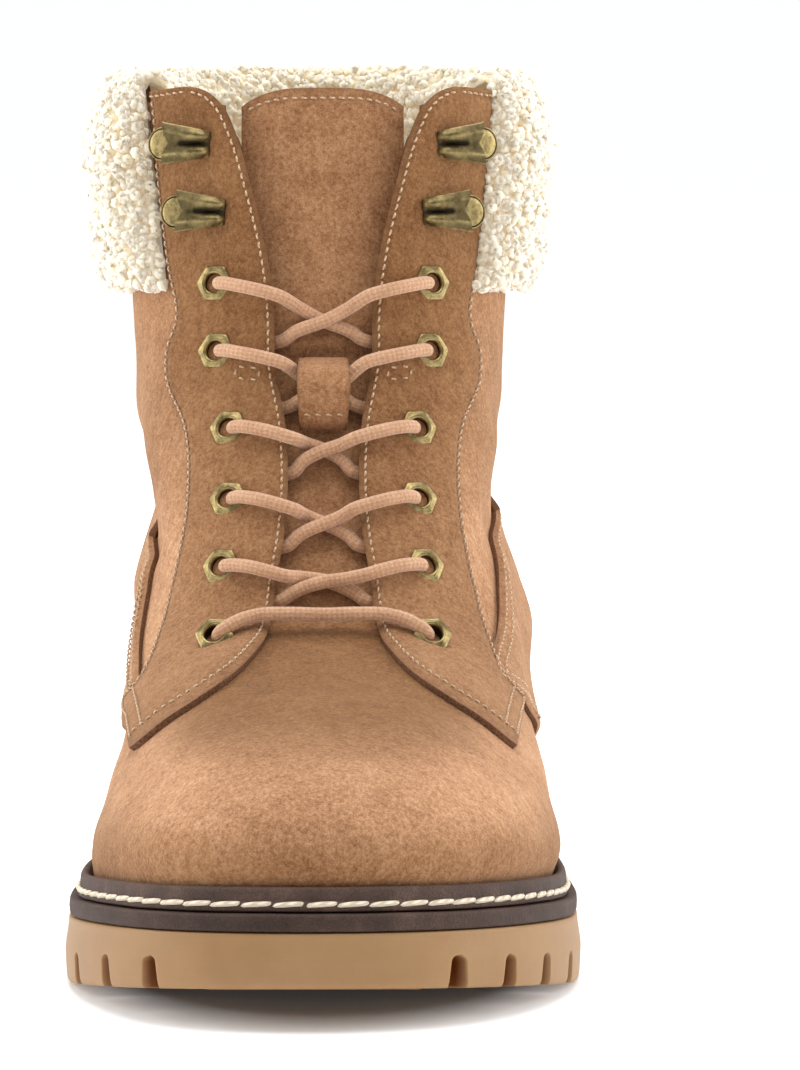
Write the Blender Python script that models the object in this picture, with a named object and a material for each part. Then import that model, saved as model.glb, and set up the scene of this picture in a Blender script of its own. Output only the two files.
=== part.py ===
"""Left lace-up ankle boot: suede upper, fleece collar, welt and lugged rubber sole.

Metres, +Z up. The toe points to -Y and the outer side of the foot is +X. The tables are in
millimetres, and MM turns them into metres.
"""

import math

import bmesh
import bpy
import numpy as np

MM = 0.001

# ---- driving sizes, in metres ----
GAP = 0.3 * MM                # clearance between pieces that lie on each other
WALL = 2.0 * MM               # upper: suede and lining
SHAFT_TOP = 180 * MM          # height of the shaft's edge
BALL_RISE = 21 * MM           # feather line above the floor at the ball
HEEL_RISE = 27 * MM           # how much higher the feather line is at the heel seat
ARCH_Y = (-45 * MM, 85 * MM)  # where the feather line climbs from ball to heel
SPRING_Y = -50 * MM           # toe spring starts here
SPRING_BLEND = 25 * MM        # length over which it bends up
SPRING_SLOPE = 0.118
TOE_THINNING = 0.72           # share of the toe spring that the feather line follows
BREAST_Y = 55 * MM            # front face of the heel
SHANK_RISE = 27 * MM          # underside of the shank at the heel breast
SHANK_Y = (-12 * MM, 54 * MM)

# Layers of the bottom, measured from the feather line, and their overhang outside it.
GUM_TOP, GUM_OVERHANG = -7.4 * MM, 6.2 * MM
MID_LOW, MID_HIGH, MID_OVERHANG = -7.1 * MM, -3.9 * MM, 5.0 * MM
WELT_LOW, WELT_TOP, WELT_LIP = -3.4 * MM, -1.4 * MM, 1.3 * MM
WELT_OVERHANG, LIP_OVERHANG, LIP_LEAN = 3.3 * MM, 2.9 * MM, 1.2 * MM
INSOLE_TOP = 0.8 * MM

# ---- the last: a row for each girdle round the boot, from the feather line to the top edge ----
# level: share of the way from the feather line to the top edge; front, back: where the girdle
# crosses the centre line; tip to heel: half-widths at STATIONS of its length.
ROW_COLUMNS = ("level", "front", "tip", "toe", "ball", "waist", "heel", "back")
ROWS = (
    (0.00, -129.8, 23.5, 36.3, 45.9, 34.4, 32.9, 129.8),
    (0.03, -131.0, 25.0, 37.8, 46.8, 35.6, 34.0, 130.3),
    (0.06, -130.8, 25.2, 37.9, 46.4, 37.2, 35.0, 130.5),
    (0.09, -129.0, 23.2, 35.6, 45.2, 38.4, 35.8, 130.2),
    (0.12, -124.5, 20.4, 32.6, 44.3, 39.4, 36.0, 129.5),
    (0.15, -116.7, 18.8, 30.2, 42.0, 38.8, 35.9, 128.5),
    (0.18, -105.5, 17.6, 28.2, 40.4, 38.0, 35.3, 127.2),
    (0.21, -90.0, 16.6, 26.6, 39.4, 37.0, 34.4, 125.6),
    (0.24, -73.5, 15.9, 25.8, 38.9, 36.2, 33.2, 123.8),
    (0.27, -55.5, 15.7, 26.0, 38.2, 35.4, 31.8, 122.0),
    (0.30, -39.5, 16.0, 26.8, 37.4, 34.7, 30.4, 120.5),
    (0.34, -30.0, 16.4, 27.2, 35.9, 33.9, 29.2, 119.0),
    (0.40, -21.5, 16.5, 27.5, 36.1, 35.3, 28.0, 118.0),
    (0.47, -11.5, 15.6, 26.8, 38.2, 38.0, 27.6, 117.8),
    (0.56, -1.0, 15.0, 26.4, 38.5, 38.5, 27.9, 118.2),
    (0.68, 8.0, 14.9, 26.1, 39.3, 39.4, 28.5, 119.2),
    (0.84, 15.5, 15.0, 26.3, 40.3, 40.4, 29.0, 120.8),
    (1.00, 20.0, 15.1, 26.5, 40.7, 40.8, 29.3, 122.0),
)
STATIONS = {"tip": 0.03, "toe": 0.10, "ball": 0.33, "waist": 0.62, "heel": 0.88}

# Columns of the net: shares of the half girdle, close together where the facings lie.
NET_SHARES = (
    0, 0.03, 0.06, 0.09, 0.12, 0.15, 0.18, 0.21, 0.25, 0.29, 0.33, 0.38,
    0.43, 0.485, 0.54, 0.595, 0.65, 0.70, 0.75, 0.80, 0.85, 0.89, 0.93, 0.965, 1.0,
)
NET_LEVELS = (0.0, 0.03, 0.07, 0.11, 0.15, 0.19, 0.23, 0.27, 0.31, 0.36, 0.43, 0.52, 0.65, 0.82, 1.0)

# How far the centre line swings to the outer side, and how the swing fades up the boot.
SWING = ((-130, -3.5), (-104, -1.3), (-44, 0.3), (31, 3.0), (98, 0.6), (130, 0.0))
SWING_FADE = ((0.0, 1.0), (0.3, 0.55), (0.6, 0.0), (1.04, 0.0))
# How far each level of the boot stands to the outer side as a whole, in millimetres.
LEAN = (
    (0.0, 0.0), (0.04, 0.8), (0.12, 0.8), (0.17, -0.3), (0.25, -0.4), (0.33, -0.6),
    (0.40, -1.3), (0.48, -1.5), (0.58, -0.9), (1.04, -0.9),
)

# ---- facing outline from the front, lateral side: rows of (height, distance from the centre) ----
FACING_INNER = (
    (180, 27.0), (179.4, 23.0), (177, 20.4), (170, 17.7), (157.3, 14.5), (147.4, 12.1),
    (131, 10.0), (121.5, 9.9), (108.5, 7.7), (94, 7.3), (87, 7.9), (77.4, 9.5), (72.2, 10.1),
)
FACING_LOWER = ((67.1, 11.3), (63.0, 15.5), (57.1, 24.3), (52.1, 32.0), (46.8, 38.3))
FACING_OUTER = (
    (53.6, 41.0), (58.9, 36.6), (66.5, 33.4), (74.8, 31.0), (93.2, 28.0), (108, 28.9),
    (116.7, 32.4), (123, 32.6), (130, 30.6), (141, 32.3), (159.7, 34.6), (177.6, 36.0), (180, 36.2),
)
FACING_THICK = 1.6 * MM
OVERLAY_GAP = 0.45 * MM
FACING_OUT = OVERLAY_GAP + FACING_THICK
FLANGE_GAP = 0.9 * MM    # the lace metalwork and the lace clear the facing's flat facets
UPPER_FOOT = -0.0066  # level of the upper's lower edge, just above the welt's flange

# ---- throat of the upper from the front: it follows the facings, a little wider ----
THROAT_INSET = 1.2 * MM
THROAT_HEAD = ((190, 22.0), (176, 22.0))
THROAT_FOOT = ((74.0, 10.2), (71.2, 7.0))

# ---- tongue and lace holes, seen from the front: rows of (height, distance from the centre) ----
TONGUE_HALF = ((58, 12), (70, 14), (90, 16), (140, 19), (176, 19), (178.6, 17.5), (179.6, 15))
TONGUE_THICK = 2.4 * MM
TONGUE_DROP = ((55, 0.0), (72, 0.0), (90, 1.2), (182, 1.2))
EYELETS = ((137.8, 22.1), (123.6, 21.8), (107.6, 19.2), (93.3, 19.2), (80.1, 20.4), (66.4, 22.7))
HOLLOW_BELOW, HOLLOW_LIFT = 85, 0.3 * MM  # under this height the instep is hollow, so flanges lift
HOOKS = ((167.2, 28.8), (152.7, 26.0))
EYELET_ACROSS = 8.4 * MM
EYELET_BARREL = 2.5 * MM
EYELET_BORE = 1.9 * MM
EYELET_LIFT = 0.9 * MM
LACE_RADIUS = 1.6 * MM
KEEPER_Z = (109.0, 123.6)
KEEPER_HALF = 5.2
KEEPER_ROOM = 7.0 * MM
KEEPER_THICK = 1.4 * MM
# Height of each crossing, and where its laces go in under the facings.
CROSSINGS = ((129.5, 125.6), (113.9, 111.6), (102.8, 98.6), (89.3, 84.4), (77.8, 74.6))

# ---- hook: a folded strip, seen from the side of its fold ----
# Rows of (outer face: distance outwards, height; inner face: distance, height; half-width).
HOOK_STRIP = (
    (9.5, 0.0, 9.5, 0.9, 3.2), (3.0, 0.0, 3.0, 0.9, 3.0), (-4.2, 0.0, -3.9, 0.9, 2.4),
    (-5.9, 0.7, -4.9, 1.35, 2.2), (-6.5, 2.1, -5.5, 2.15, 2.0), (-5.8, 3.5, -5.0, 2.9, 2.0),
    (-4.0, 4.2, -3.7, 3.3, 2.4), (0.0, 4.6, 0.1, 3.7, 3.2), (3.5, 4.9, 3.6, 4.0, 4.0),
    (5.2, 5.0, 5.3, 4.1, 4.2), (8.2, 4.9, 8.2, 4.0, 2.6), (9.2, 4.7, 9.2, 3.9, 1.4),
)

# ---- quarter overlay, seen from the side: rows of (height, distance along the foot) ----
QUARTER_FRONT = ((89.0, 27), (84.0, 12), (76.0, -4), (67.0, -18), (60.0, -27), (53.0, -33))
QUARTER_LOWER = ((46.0, -26), (36.0, -10), (26.0, 8))
QUARTER_TOP = ((99.0, 124), (98.5, 106), (94.5, 85), (91.0, 62), (89.8, 42))
# Upper edge of its medial side, which stands lower than the lateral one.
QUARTER_MEDIAL = (
    (99.5, 130), (97.5, 106), (91.5, 85), (86.5, 62), (84.5, 42), (83.5, 25), (79.5, 12),
    (72.0, -4), (64.0, -17), (57.0, -26), (52.0, -32),
)
QUARTER_GAP = 0.6 * MM
QUARTER_THICK = 1.4 * MM
QUARTER_FOOT = 0.0195    # level of its lower edge, clear of the welt's lip
STRAP_REACH = -15 * MM   # the strap ends meet the quarter in front of this

# ---- fleece collar ----
COLLAR_LOW = 137.0
COLLAR_THICK = 7.6 * MM
COLLAR_INSIDE = 5.0 * MM
LUMP = 0.9 * MM

# ---- lugs: distance along the foot of each groove in the side of the sole ----
GROOVES_LATERAL = (-129.2, -116.5, -98.0, -75.5, -52.0, -29.0, -6.0, 70.0, 90.0, 110.0)
GROOVES_MEDIAL = (-124.6, -105.5, -80.5, -57.0, -34.0, -11.0, 70.0, 90.0, 110.0)
GROOVE_WIDE, GROOVE_NARROW, GROOVE_HIGH, GROOVE_DEEP = 5.0 * MM, 3.4 * MM, 6.3 * MM, 19 * MM
TREAD_DEEP = 3.5 * MM
TREAD_EDGE = -15 * MM
FOREFOOT_BARS = (-105, -85, -65, -45, -25)
HEEL_BARS = (78, 98)

SUEDE = ("suede", (0.46, 0.25, 0.145), 0.95, 0.0)
FLEECE = ("fleece", (0.86, 0.79, 0.64), 1.0, 0.0)
GUM = ("gum_rubber", (0.50, 0.29, 0.13), 0.5, 0.0)
DARK = ("welt_leather", (0.060, 0.038, 0.030), 0.7, 0.0)
BOARD = ("insole_board", (0.55, 0.42, 0.30), 0.9, 0.0)
BRASS = ("antique_brass", (0.36, 0.28, 0.12), 0.35, 1.0)
CORD = ("lace_cord", (0.55, 0.30, 0.20), 0.9, 0.0)


# ---------------------------------------------------------------- curves and tables

def column(rows, index):
    """One column of a table, as an array."""
    return np.array([row[index] for row in rows], float)


def through(at, xs, ys):
    """A smooth curve through table rows: cubic pieces with the table's own slopes."""
    at = np.clip(at, xs[0], xs[-1])
    slopes = np.gradient(ys, xs)
    i = np.clip(np.searchsorted(xs, at, side="right") - 1, 0, len(xs) - 2)
    width = xs[i + 1] - xs[i]
    t = (at - xs[i]) / width
    return (
        (2 * t**3 - 3 * t**2 + 1) * ys[i]
        + (t**3 - 2 * t**2 + t) * width * slopes[i]
        + (3 * t**2 - 2 * t**3) * ys[i + 1]
        + (t**3 - t**2) * width * slopes[i + 1]
    )


def smoothstep(t):
    t = np.clip(t, 0, 1)
    return t * t * (3 - 2 * t)


def closed_curve(points, samples):
    """A closed cubic spline by chord length; samples gives how many steps each span has."""
    points = np.asarray(points, float)
    count = len(points)
    chord = np.linalg.norm(np.roll(points, -1, axis=0) - points, axis=1)
    before = np.roll(chord, 1)
    system = np.zeros((count, count))
    right = np.zeros_like(points)
    rise = (np.roll(points, -1, axis=0) - points) / chord[:, None]
    for i in range(count):
        system[i, i - 1] += chord[i]
        system[i, i] += 2 * (chord[i] + before[i])
        system[i, (i + 1) % count] += before[i]
        right[i] = 3 * (chord[i] * rise[i - 1] + before[i] * rise[i])
    slope = np.linalg.solve(system, right)
    t = (np.arange(samples) / samples)[:, None]
    spans = []
    for i in range(count):
        j = (i + 1) % count
        spans.append(
            (2 * t**3 - 3 * t**2 + 1) * points[i]
            + (t**3 - 2 * t**2 + t) * chord[i] * slope[i]
            + (3 * t**2 - 2 * t**3) * points[j]
            + (t**3 - t**2) * chord[i] * slope[j]
        )
    return np.concatenate(spans)


def on_line(line, shares):
    """Rows at the given shares of a plan line's length; columns past x and y are carried along."""
    steps = np.linalg.norm(np.diff(line[:, :2], axis=0), axis=1)
    length = np.concatenate([[0], np.cumsum(steps)])
    return np.stack([np.interp(shares * length[-1], length, line[:, k]) for k in range(line.shape[1])], 1)


# ---------------------------------------------------------------- the last

def toe_spring(y):
    """How far the forefoot lifts in front of the ball: a bend, then a straight climb."""
    t = np.maximum(SPRING_Y - y, 0)
    bend = t**2 / (2 * SPRING_BLEND)
    return SPRING_SLOPE * np.where(t < SPRING_BLEND, bend, t - SPRING_BLEND / 2)


def feather(y):
    """Height of the feather line, where the upper meets the bottom."""
    climb = smoothstep((y - ARCH_Y[0]) / (ARCH_Y[1] - ARCH_Y[0]))
    return BALL_RISE + TOE_THINNING * toe_spring(y) + HEEL_RISE * climb


def tread(y):
    """Underside of the rubber: toe spring, flat forefoot, shank and then the flat heel."""
    shank = SHANK_RISE * smoothstep((y - SHANK_Y[0]) / (SHANK_Y[1] - SHANK_Y[0]))
    return np.where(y < BREAST_Y, toe_spring(y) + shank, 0.0)


def swing(y, level):
    """How far a girdle's middle stands to the outer side at one point of its length."""
    along = np.interp(y, column(SWING, 0) * MM, column(SWING, 1) * MM)
    fade = np.interp(level, column(SWING_FADE, 0), column(SWING_FADE, 1))
    return along * fade + np.interp(level, column(LEAN, 0), column(LEAN, 1) * MM)


def girdle(level):
    """One closed girdle in plan, as two lines from front to back: lateral and medial."""
    levels = column(ROWS, 0)
    row = {name: through(level, levels, column(ROWS, k)) * MM for k, name in enumerate(ROW_COLUMNS) if k}
    length = row["back"] - row["front"]
    sides = []
    for name, share in STATIONS.items():
        y = row["front"] + share * length
        sides.append((y, row[name], swing(y, level)))
    front = [(swing(row["front"], level), row["front"])]
    lateral = [(shift + half, y) for y, half, shift in sides]
    medial = [(shift - half, y) for y, half, shift in reversed(sides)]
    samples = 24
    back = [(swing(row["back"], level), row["back"])]
    curve = closed_curve(front + lateral + back + medial, samples)
    turn = samples * (len(STATIONS) + 1)
    return curve[: turn + 1], np.concatenate([curve[:1], curve[:turn - 1:-1]])


class Last:
    """The boot's outer surface as a dense net, which the pieces are cut from or laid on."""

    def __init__(self):
        self.levels = np.linspace(-0.01, 1.04, 148)
        self.shares = np.linspace(-1, 1, 241)
        rows = []
        half = np.linspace(0, 1, 121)
        for level in self.levels:
            lateral, medial = (on_line(side, half) for side in girdle(level))
            plan = np.concatenate([medial[:0:-1], lateral])
            low = feather(plan[:, 1])
            rows.append(np.column_stack([plan, low + level * (SHAFT_TOP - low)]))
        self.points = np.array(rows)
        self.normals = self.outward(self.points)

    @staticmethod
    def outward(points):
        round_it = np.gradient(points, axis=1)
        round_it[:, 0] = round_it[:, -1] = (points[:, 1] - points[:, -2]) / 2
        normals = np.cross(round_it, np.gradient(points, axis=0))
        return normals / np.linalg.norm(normals, axis=2, keepdims=True)

    def at(self, level, share, offset=0.0):
        """Points at a level and a signed share of the half girdle, moved out by offset."""
        level, share, offset = np.broadcast_arrays(level, share, offset)
        i = (level - self.levels[0]) / (self.levels[1] - self.levels[0])
        j = (share + 1) / (self.shares[1] - self.shares[0])
        i0 = np.clip(i.astype(int), 0, len(self.levels) - 2)
        j0 = np.clip(j.astype(int), 0, len(self.shares) - 2)
        s, t = (i - i0)[..., None], (j - j0)[..., None]

        def blend(net):
            return (
                net[i0, j0] * (1 - s) * (1 - t) + net[i0 + 1, j0] * s * (1 - t)
                + net[i0, j0 + 1] * (1 - s) * t + net[i0 + 1, j0 + 1] * s * t
            )

        normal = blend(self.normals)
        normal /= np.linalg.norm(normal, axis=-1, keepdims=True)
        return blend(self.points) + normal * offset[..., None]

    def front(self, x, z):
        """Point and normal of the front of the boot at one x and z, both in metres."""
        middle = len(self.shares) // 2
        reach = slice(middle - 42, middle + 43)
        net = np.concatenate([self.points[:, reach], self.normals[:, reach]], axis=2)
        line = np.array([[np.interp(x, row[:, 0], row[:, k]) for k in range(6)] for row in net])
        found = np.array([np.interp(z, line[:, 2], line[:, k]) for k in range(6)])
        normal = found[3:] / np.linalg.norm(found[3:])
        return np.array([x, found[1], z]), normal

    def share_at_x(self, x, z):
        """Share of the lateral half girdle where the shaft at height z is x wide."""
        level = (z - BALL_RISE) / (SHAFT_TOP - BALL_RISE)
        for _ in range(3):
            line = self.at(level, np.linspace(0, 0.5, 61))
            share = np.interp(x, line[:, 0], np.linspace(0, 0.5, 61))
            low = feather(self.at(level, share)[1])
            level = (z - low) / (SHAFT_TOP - low)
        return share


# ---------------------------------------------------------------- Blender helpers

def material(recipe):
    name, colour, roughness, metallic = recipe
    found = bpy.data.materials.get(name)
    if found is None:
        found = bpy.data.materials.new(name)
        found.use_nodes = True
        shader = found.node_tree.nodes["Principled BSDF"]
        shader.inputs["Base Color"].default_value = (*colour, 1)
        shader.inputs["Roughness"].default_value = roughness
        shader.inputs["Metallic"].default_value = metallic
    return found


def make(name, points, faces, recipe=None):
    """A mesh object; without a material it is a cutter, which is left out of the model."""
    mesh = bpy.data.meshes.new(name)
    mesh.from_pydata([tuple(p) for p in points], [], [tuple(f) for f in faces])
    tidy = bmesh.new()
    tidy.from_mesh(mesh)
    bmesh.ops.remove_doubles(tidy, verts=tidy.verts, dist=1e-7)
    bmesh.ops.recalc_face_normals(tidy, faces=tidy.faces)
    tidy.to_mesh(mesh)
    tidy.free()
    obj = bpy.data.objects.new(name, mesh)
    bpy.context.scene.collection.objects.link(obj)
    if recipe is None:
        obj.hide_render = True
        obj.display_type = "WIRE"
    else:
        mesh.materials.append(material(recipe))
        mesh.shade_smooth()
        mesh.set_sharp_from_angle(angle=math.radians(40))
    return obj


def boolean(obj, other, operation):
    modifier = obj.modifiers.new(operation.lower(), "BOOLEAN")
    modifier.operation = operation
    modifier.object = other
    modifier.solver = "EXACT"


def solidify(obj, thickness, side):
    modifier = obj.modifiers.new("wall", "SOLIDIFY")
    modifier.thickness = thickness
    modifier.offset = side
    modifier.use_even_offset = True


def net_faces(rows, columns, wrap=False, start=0):
    """Quads of a net of points; wrap joins its last column to its first."""
    across = columns if wrap else columns - 1
    return [
        (start + i * columns + j, start + i * columns + (j + 1) % columns,
         start + (i + 1) * columns + (j + 1) % columns, start + (i + 1) * columns + j)
        for i in range(rows - 1) for j in range(across)
    ]


def sheet(name, points, recipe):
    """An open sheet from a net of points: rows go up, columns towards the outer side."""
    rows, columns = points.shape[:2]
    return make_open(name, points.reshape(-1, 3), net_faces(rows, columns), recipe)


def make_open(name, points, faces, recipe):
    """An open mesh whose faces already point outwards."""
    mesh = bpy.data.meshes.new(name)
    mesh.from_pydata([tuple(p) for p in points], [], [tuple(f) for f in faces])
    mesh.materials.append(material(recipe))
    mesh.shade_smooth()
    obj = bpy.data.objects.new(name, mesh)
    bpy.context.scene.collection.objects.link(obj)
    return obj


def prism(name, outline, low, high, axis):
    """A closed outline carried along X or Y, as a cutter. The outline is (distance, height)."""
    count = len(outline)
    ends = []
    for along in (low, high):
        for distance, height in outline:
            ends.append((along, distance, height) if axis == "X" else (distance, along, height))
    faces = [(i, (i + 1) % count, count + (i + 1) % count, count + i) for i in range(count)]
    faces += [tuple(range(count)), tuple(range(2 * count - 1, count - 1, -1))]
    return make(name, ends, faces)


def widened(outline, by):
    """A closed outline moved outwards along its normals."""
    line = np.array(outline)
    ahead, behind = np.roll(line, -1, axis=0), np.roll(line, 1, axis=0)
    side = np.stack([(ahead - behind)[:, 1], -(ahead - behind)[:, 0]], axis=1)
    side /= np.linalg.norm(side, axis=1, keepdims=True)
    x, y = line[:, 0], line[:, 1]
    area = np.sum(x * np.roll(y, -1) - y * np.roll(x, -1))
    return line + side * by * np.sign(area)


def tube(name, path, radius, recipe, sides=6):
    """A round cord along a path, with closed ends."""
    path = np.asarray(path)
    along = np.gradient(path, axis=0)
    along /= np.linalg.norm(along, axis=1, keepdims=True)
    side = np.cross(along, (0.0, -1.0, 0.05))
    side /= np.linalg.norm(side, axis=1, keepdims=True)
    up = np.cross(side, along)
    turn = np.arange(sides) * 2 * math.pi / sides
    ring = np.cos(turn)[None, :, None] * side[:, None] + np.sin(turn)[None, :, None] * up[:, None]
    points = (path[:, None] + radius * ring).reshape(-1, 3)
    faces = net_faces(len(path), sides, wrap=True)
    faces += [tuple(range(sides)), tuple(range(len(points) - sides, len(points)))[::-1]]
    return make(name, points, faces, recipe)


# ---------------------------------------------------------------- the bottom

def footprint(shares=np.linspace(0, 1, 361)):
    """The feather line in plan at shares of each side's length, with its outward normals."""
    lateral, medial = girdle(0.0)
    fine = np.concatenate([lateral, medial[-2:0:-1]])
    ahead = np.roll(fine, -1, axis=0) - np.roll(fine, 1, axis=0)
    out = np.stack([ahead[:, 1], -ahead[:, 0]], axis=1)
    out /= np.linalg.norm(out, axis=1, keepdims=True)
    turn = len(lateral)
    fine = np.concatenate([fine, out], axis=1)
    lateral, medial = fine[:turn], np.concatenate([fine[turn - 1:], fine[:1]])[::-1]
    loop = np.concatenate([on_line(lateral, shares), on_line(medial, shares)[-2:0:-1]])
    return loop[:, :2], loop[:, 2:]


def edges_at(overhang, shares):
    """Medial and lateral edge of the footprint, moved out, at shares of its length."""
    loop, out = footprint()
    reach = overhang(loop[:, 1]) if callable(overhang) else np.full(len(loop), overhang)
    loop = loop + out * reach[:, None]
    tip, end = np.argmin(loop[:, 1]), np.argmax(loop[:, 1])
    turned = np.roll(loop, -tip, axis=0)
    end = (end - tip) % len(loop)
    lateral = turned[: end + 1]
    medial = np.concatenate([turned[end:], turned[:1]])[::-1]
    y = lateral[0, 1] + shares * (lateral[-1, 1] - lateral[0, 1])
    return (
        np.column_stack([np.interp(y, medial[:, 1], medial[:, 0]), y]),
        np.column_stack([np.interp(y, lateral[:, 1], lateral[:, 0]), y]),
    )


def rungs(count, extra=()):
    """Shares of the sole's length, close together at both ends, with any extra ones."""
    even = (1 - np.cos(np.linspace(0, math.pi, count))) / 2
    return np.unique(np.concatenate([even, extra]))


def plate(name, low_edge, high_edge, low, high, shares, recipe):
    """A layer of the sole: straight across the foot, curved along it by two height functions."""
    points = []
    for edge, height in ((low_edge, low), (high_edge, high)):
        for line in edges_at(edge, shares):
            points.append(np.column_stack([line, height(line[:, 1])]))
    count = len(shares)
    medial_low, lateral_low, medial_high, lateral_high = (k * count for k in range(4))
    faces = []
    for i in range(count - 1):
        for a, b in (
            (medial_low, lateral_low), (lateral_low, lateral_high),
            (lateral_high, medial_high), (medial_high, medial_low),
        ):
            faces.append((a + i, b + i, b + i + 1, a + i + 1))
    faces += [(medial_low, lateral_low, lateral_high, medial_high)]
    faces += [(medial_low + count - 1, lateral_low + count - 1, lateral_high + count - 1, medial_high + count - 1)]
    return make(name, np.concatenate(points), faces, recipe)


def box_points(centre, along, wide_low, wide_high, deep, low, high):
    """Corners of a block that narrows upwards; along is its direction in plan."""
    along = np.array([*along, 0.0])
    across = np.array([-along[1], along[0], 0.0])
    centre = np.array([*centre, 0.0])
    points = []
    for height, wide in ((low, wide_low), (high, wide_high)):
        for a, c in ((-deep / 2, -wide / 2), (deep / 2, -wide / 2), (deep / 2, wide / 2), (-deep / 2, wide / 2)):
            points.append(centre + a * along + c * across + np.array([0, 0, height]))
    return points


BOX_FACES = ((3, 2, 1, 0), (4, 5, 6, 7), (0, 1, 5, 4), (1, 2, 6, 5), (2, 3, 7, 6), (3, 0, 4, 7))


def blocks(name, corner_sets):
    """Several separate blocks in one cutter."""
    points, faces = [], []
    for corners in corner_sets:
        faces += [tuple(len(points) + i for i in face) for face in BOX_FACES]
        points += list(corners)
    return make(name, points, faces)


def side_grooves():
    """The cuts between the lugs: they run in from the edge, square to the outline."""
    loop, out = footprint()
    edge = loop + out * GUM_OVERHANG
    sets = []
    for stations, sign in ((GROOVES_LATERAL, 1), (GROOVES_MEDIAL, -1)):
        for y in stations:
            near = np.where(out[:, 0] * sign > 0, np.abs(edge[:, 1] - y * MM), 1.0)
            i = int(np.argmin(near))
            centre = edge[i] - out[i] * (GROOVE_DEEP / 2 - 3 * MM)
            floor = float(tread(edge[i, 1]))
            sets.append(box_points(
                centre, out[i], GROOVE_WIDE, GROOVE_NARROW, GROOVE_DEEP, floor - 2 * MM, floor + GROOVE_HIGH,
            ))
    return blocks("cut_side_grooves", sets)


def tread_recess(name, first, last):
    """The lowered middle of the tread between two places along the foot."""
    shares = np.linspace(first, last, 12)
    medial, lateral = edges_at(GUM_OVERHANG + TREAD_EDGE, shares)
    points = []
    for drop in (-3 * MM, TREAD_DEEP):
        for line in (medial, lateral):
            points.append(np.column_stack([line, tread(line[:, 1]) + drop]))
    count = len(shares)
    faces = [(0, count, 3 * count, 2 * count)]
    faces += [(count - 1, 2 * count - 1, 4 * count - 1, 3 * count - 1)]
    for i in range(count - 1):
        for a, b in ((0, 1), (1, 3), (3, 2), (2, 0)):
            faces.append((a * count + i, b * count + i, b * count + i + 1, a * count + i + 1))
    return make(name, np.concatenate(points), faces)


def tread_bars():
    """The lugs across the middle of the forefoot and of the heel."""
    sets = []
    for y in FOREFOOT_BARS + HEEL_BARS:
        medial, lateral = edges_at(GUM_OVERHANG + TREAD_EDGE - 4 * MM, np.linspace(0, 1, 200))
        left = np.interp(y * MM, medial[:, 1], medial[:, 0])
        right = np.interp(y * MM, lateral[:, 1], lateral[:, 0])
        floor = float(tread(np.array(y * MM)))
        sets.append(box_points(
            ((left + right) / 2, y * MM), (1, 0), 11 * MM, 12 * MM, right - left, floor, floor + TREAD_DEEP + 1 * MM,
        ))
    return blocks("add_tread_bars", sets)


def outsole():
    def low_edge(y):
        return GUM_OVERHANG - 0.6 * MM - 2.4 * MM * smoothstep((y - 40 * MM) / (30 * MM))

    medial, _ = edges_at(GUM_OVERHANG, np.array([0.0, 1.0]))
    length = medial[1, 1] - medial[0, 1]
    breast = (np.array([BREAST_Y - 0.5 * MM, BREAST_Y + 2.5 * MM]) - medial[0, 1]) / length
    sole = plate(
        "outsole", low_edge, GUM_OVERHANG, tread, lambda y: feather(y) + GUM_TOP, rungs(40, breast), GUM,
    )
    boolean(sole, side_grooves(), "DIFFERENCE")
    boolean(sole, tread_recess("cut_forefoot", 0.10, 0.46), "DIFFERENCE")
    boolean(sole, tread_recess("cut_heel", 0.76, 0.93), "DIFFERENCE")
    boolean(sole, tread_bars(), "UNION")
    return sole


def midsole():
    return plate(
        "midsole", MID_OVERHANG, MID_OVERHANG, lambda y: feather(y) + MID_LOW,
        lambda y: feather(y) + MID_HIGH, rungs(34), DARK,
    )


def insole():
    inset = -(WALL + GAP + 0.4 * MM)
    return plate(
        "insole", inset, inset, lambda y: feather(y) + WELT_LOW, lambda y: feather(y) + INSOLE_TOP,
        rungs(30), BOARD,
    )


def welt():
    """A ring with a flat flange under the upper's edge and a lip that stands outside it."""
    profile = (
        (-WALL, WELT_LOW), (WELT_OVERHANG, WELT_LOW), (WELT_OVERHANG, WELT_TOP - 0.5 * MM),
        (LIP_OVERHANG, WELT_TOP), (LIP_OVERHANG - 0.2 * MM, WELT_LIP - 0.3 * MM),
        (LIP_LEAN, WELT_LIP), (1.6 * GAP, WELT_TOP), (-WALL, WELT_TOP),
    )
    loop, out = footprint(np.array(NET_SHARES))
    net = []
    for overhang, height in profile:
        line = loop + out * overhang
        net.append(np.column_stack([line, feather(line[:, 1]) + height]))
    net = np.array(net + net[:1])
    rows, columns = net.shape[:2]
    return make("welt", net.reshape(-1, 3), net_faces(rows, columns, wrap=True), DARK)


# ---------------------------------------------------------------- the upper and what lies on it

def facing_outline(sign, by=0.0):
    """The facing seen from the front, as (x, z) in metres."""
    rows = FACING_INNER + FACING_LOWER + FACING_OUTER
    line = np.array([(x * MM, z * MM) for z, x in rows])
    if by:
        line = widened(line, by)
    return line * (sign, 1)


def hole_cutters(last, name, radius):
    """Short rods through every lace hole, square to the surface."""
    points, faces = [], []
    sides = 8
    for sign in (1, -1):
        for z, x in EYELETS:
            centre, normal = last.front(sign * x * MM, z * MM)
            side, up = across(normal)
            turn = (np.arange(sides) + 0.5) * 2 * math.pi / sides
            start = len(points)
            for depth in (-6 * MM, 6 * MM):
                for a in turn:
                    points.append(centre + normal * depth + radius * (math.cos(a) * side + math.sin(a) * up))
            faces += [
                (start + i, start + (i + 1) % sides, start + sides + (i + 1) % sides, start + sides + i)
                for i in range(sides)
            ]
            faces += [
                tuple(range(start + sides - 1, start - 1, -1)), tuple(range(start + sides, start + 2 * sides)),
            ]
    return make(name, points, faces)


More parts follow.
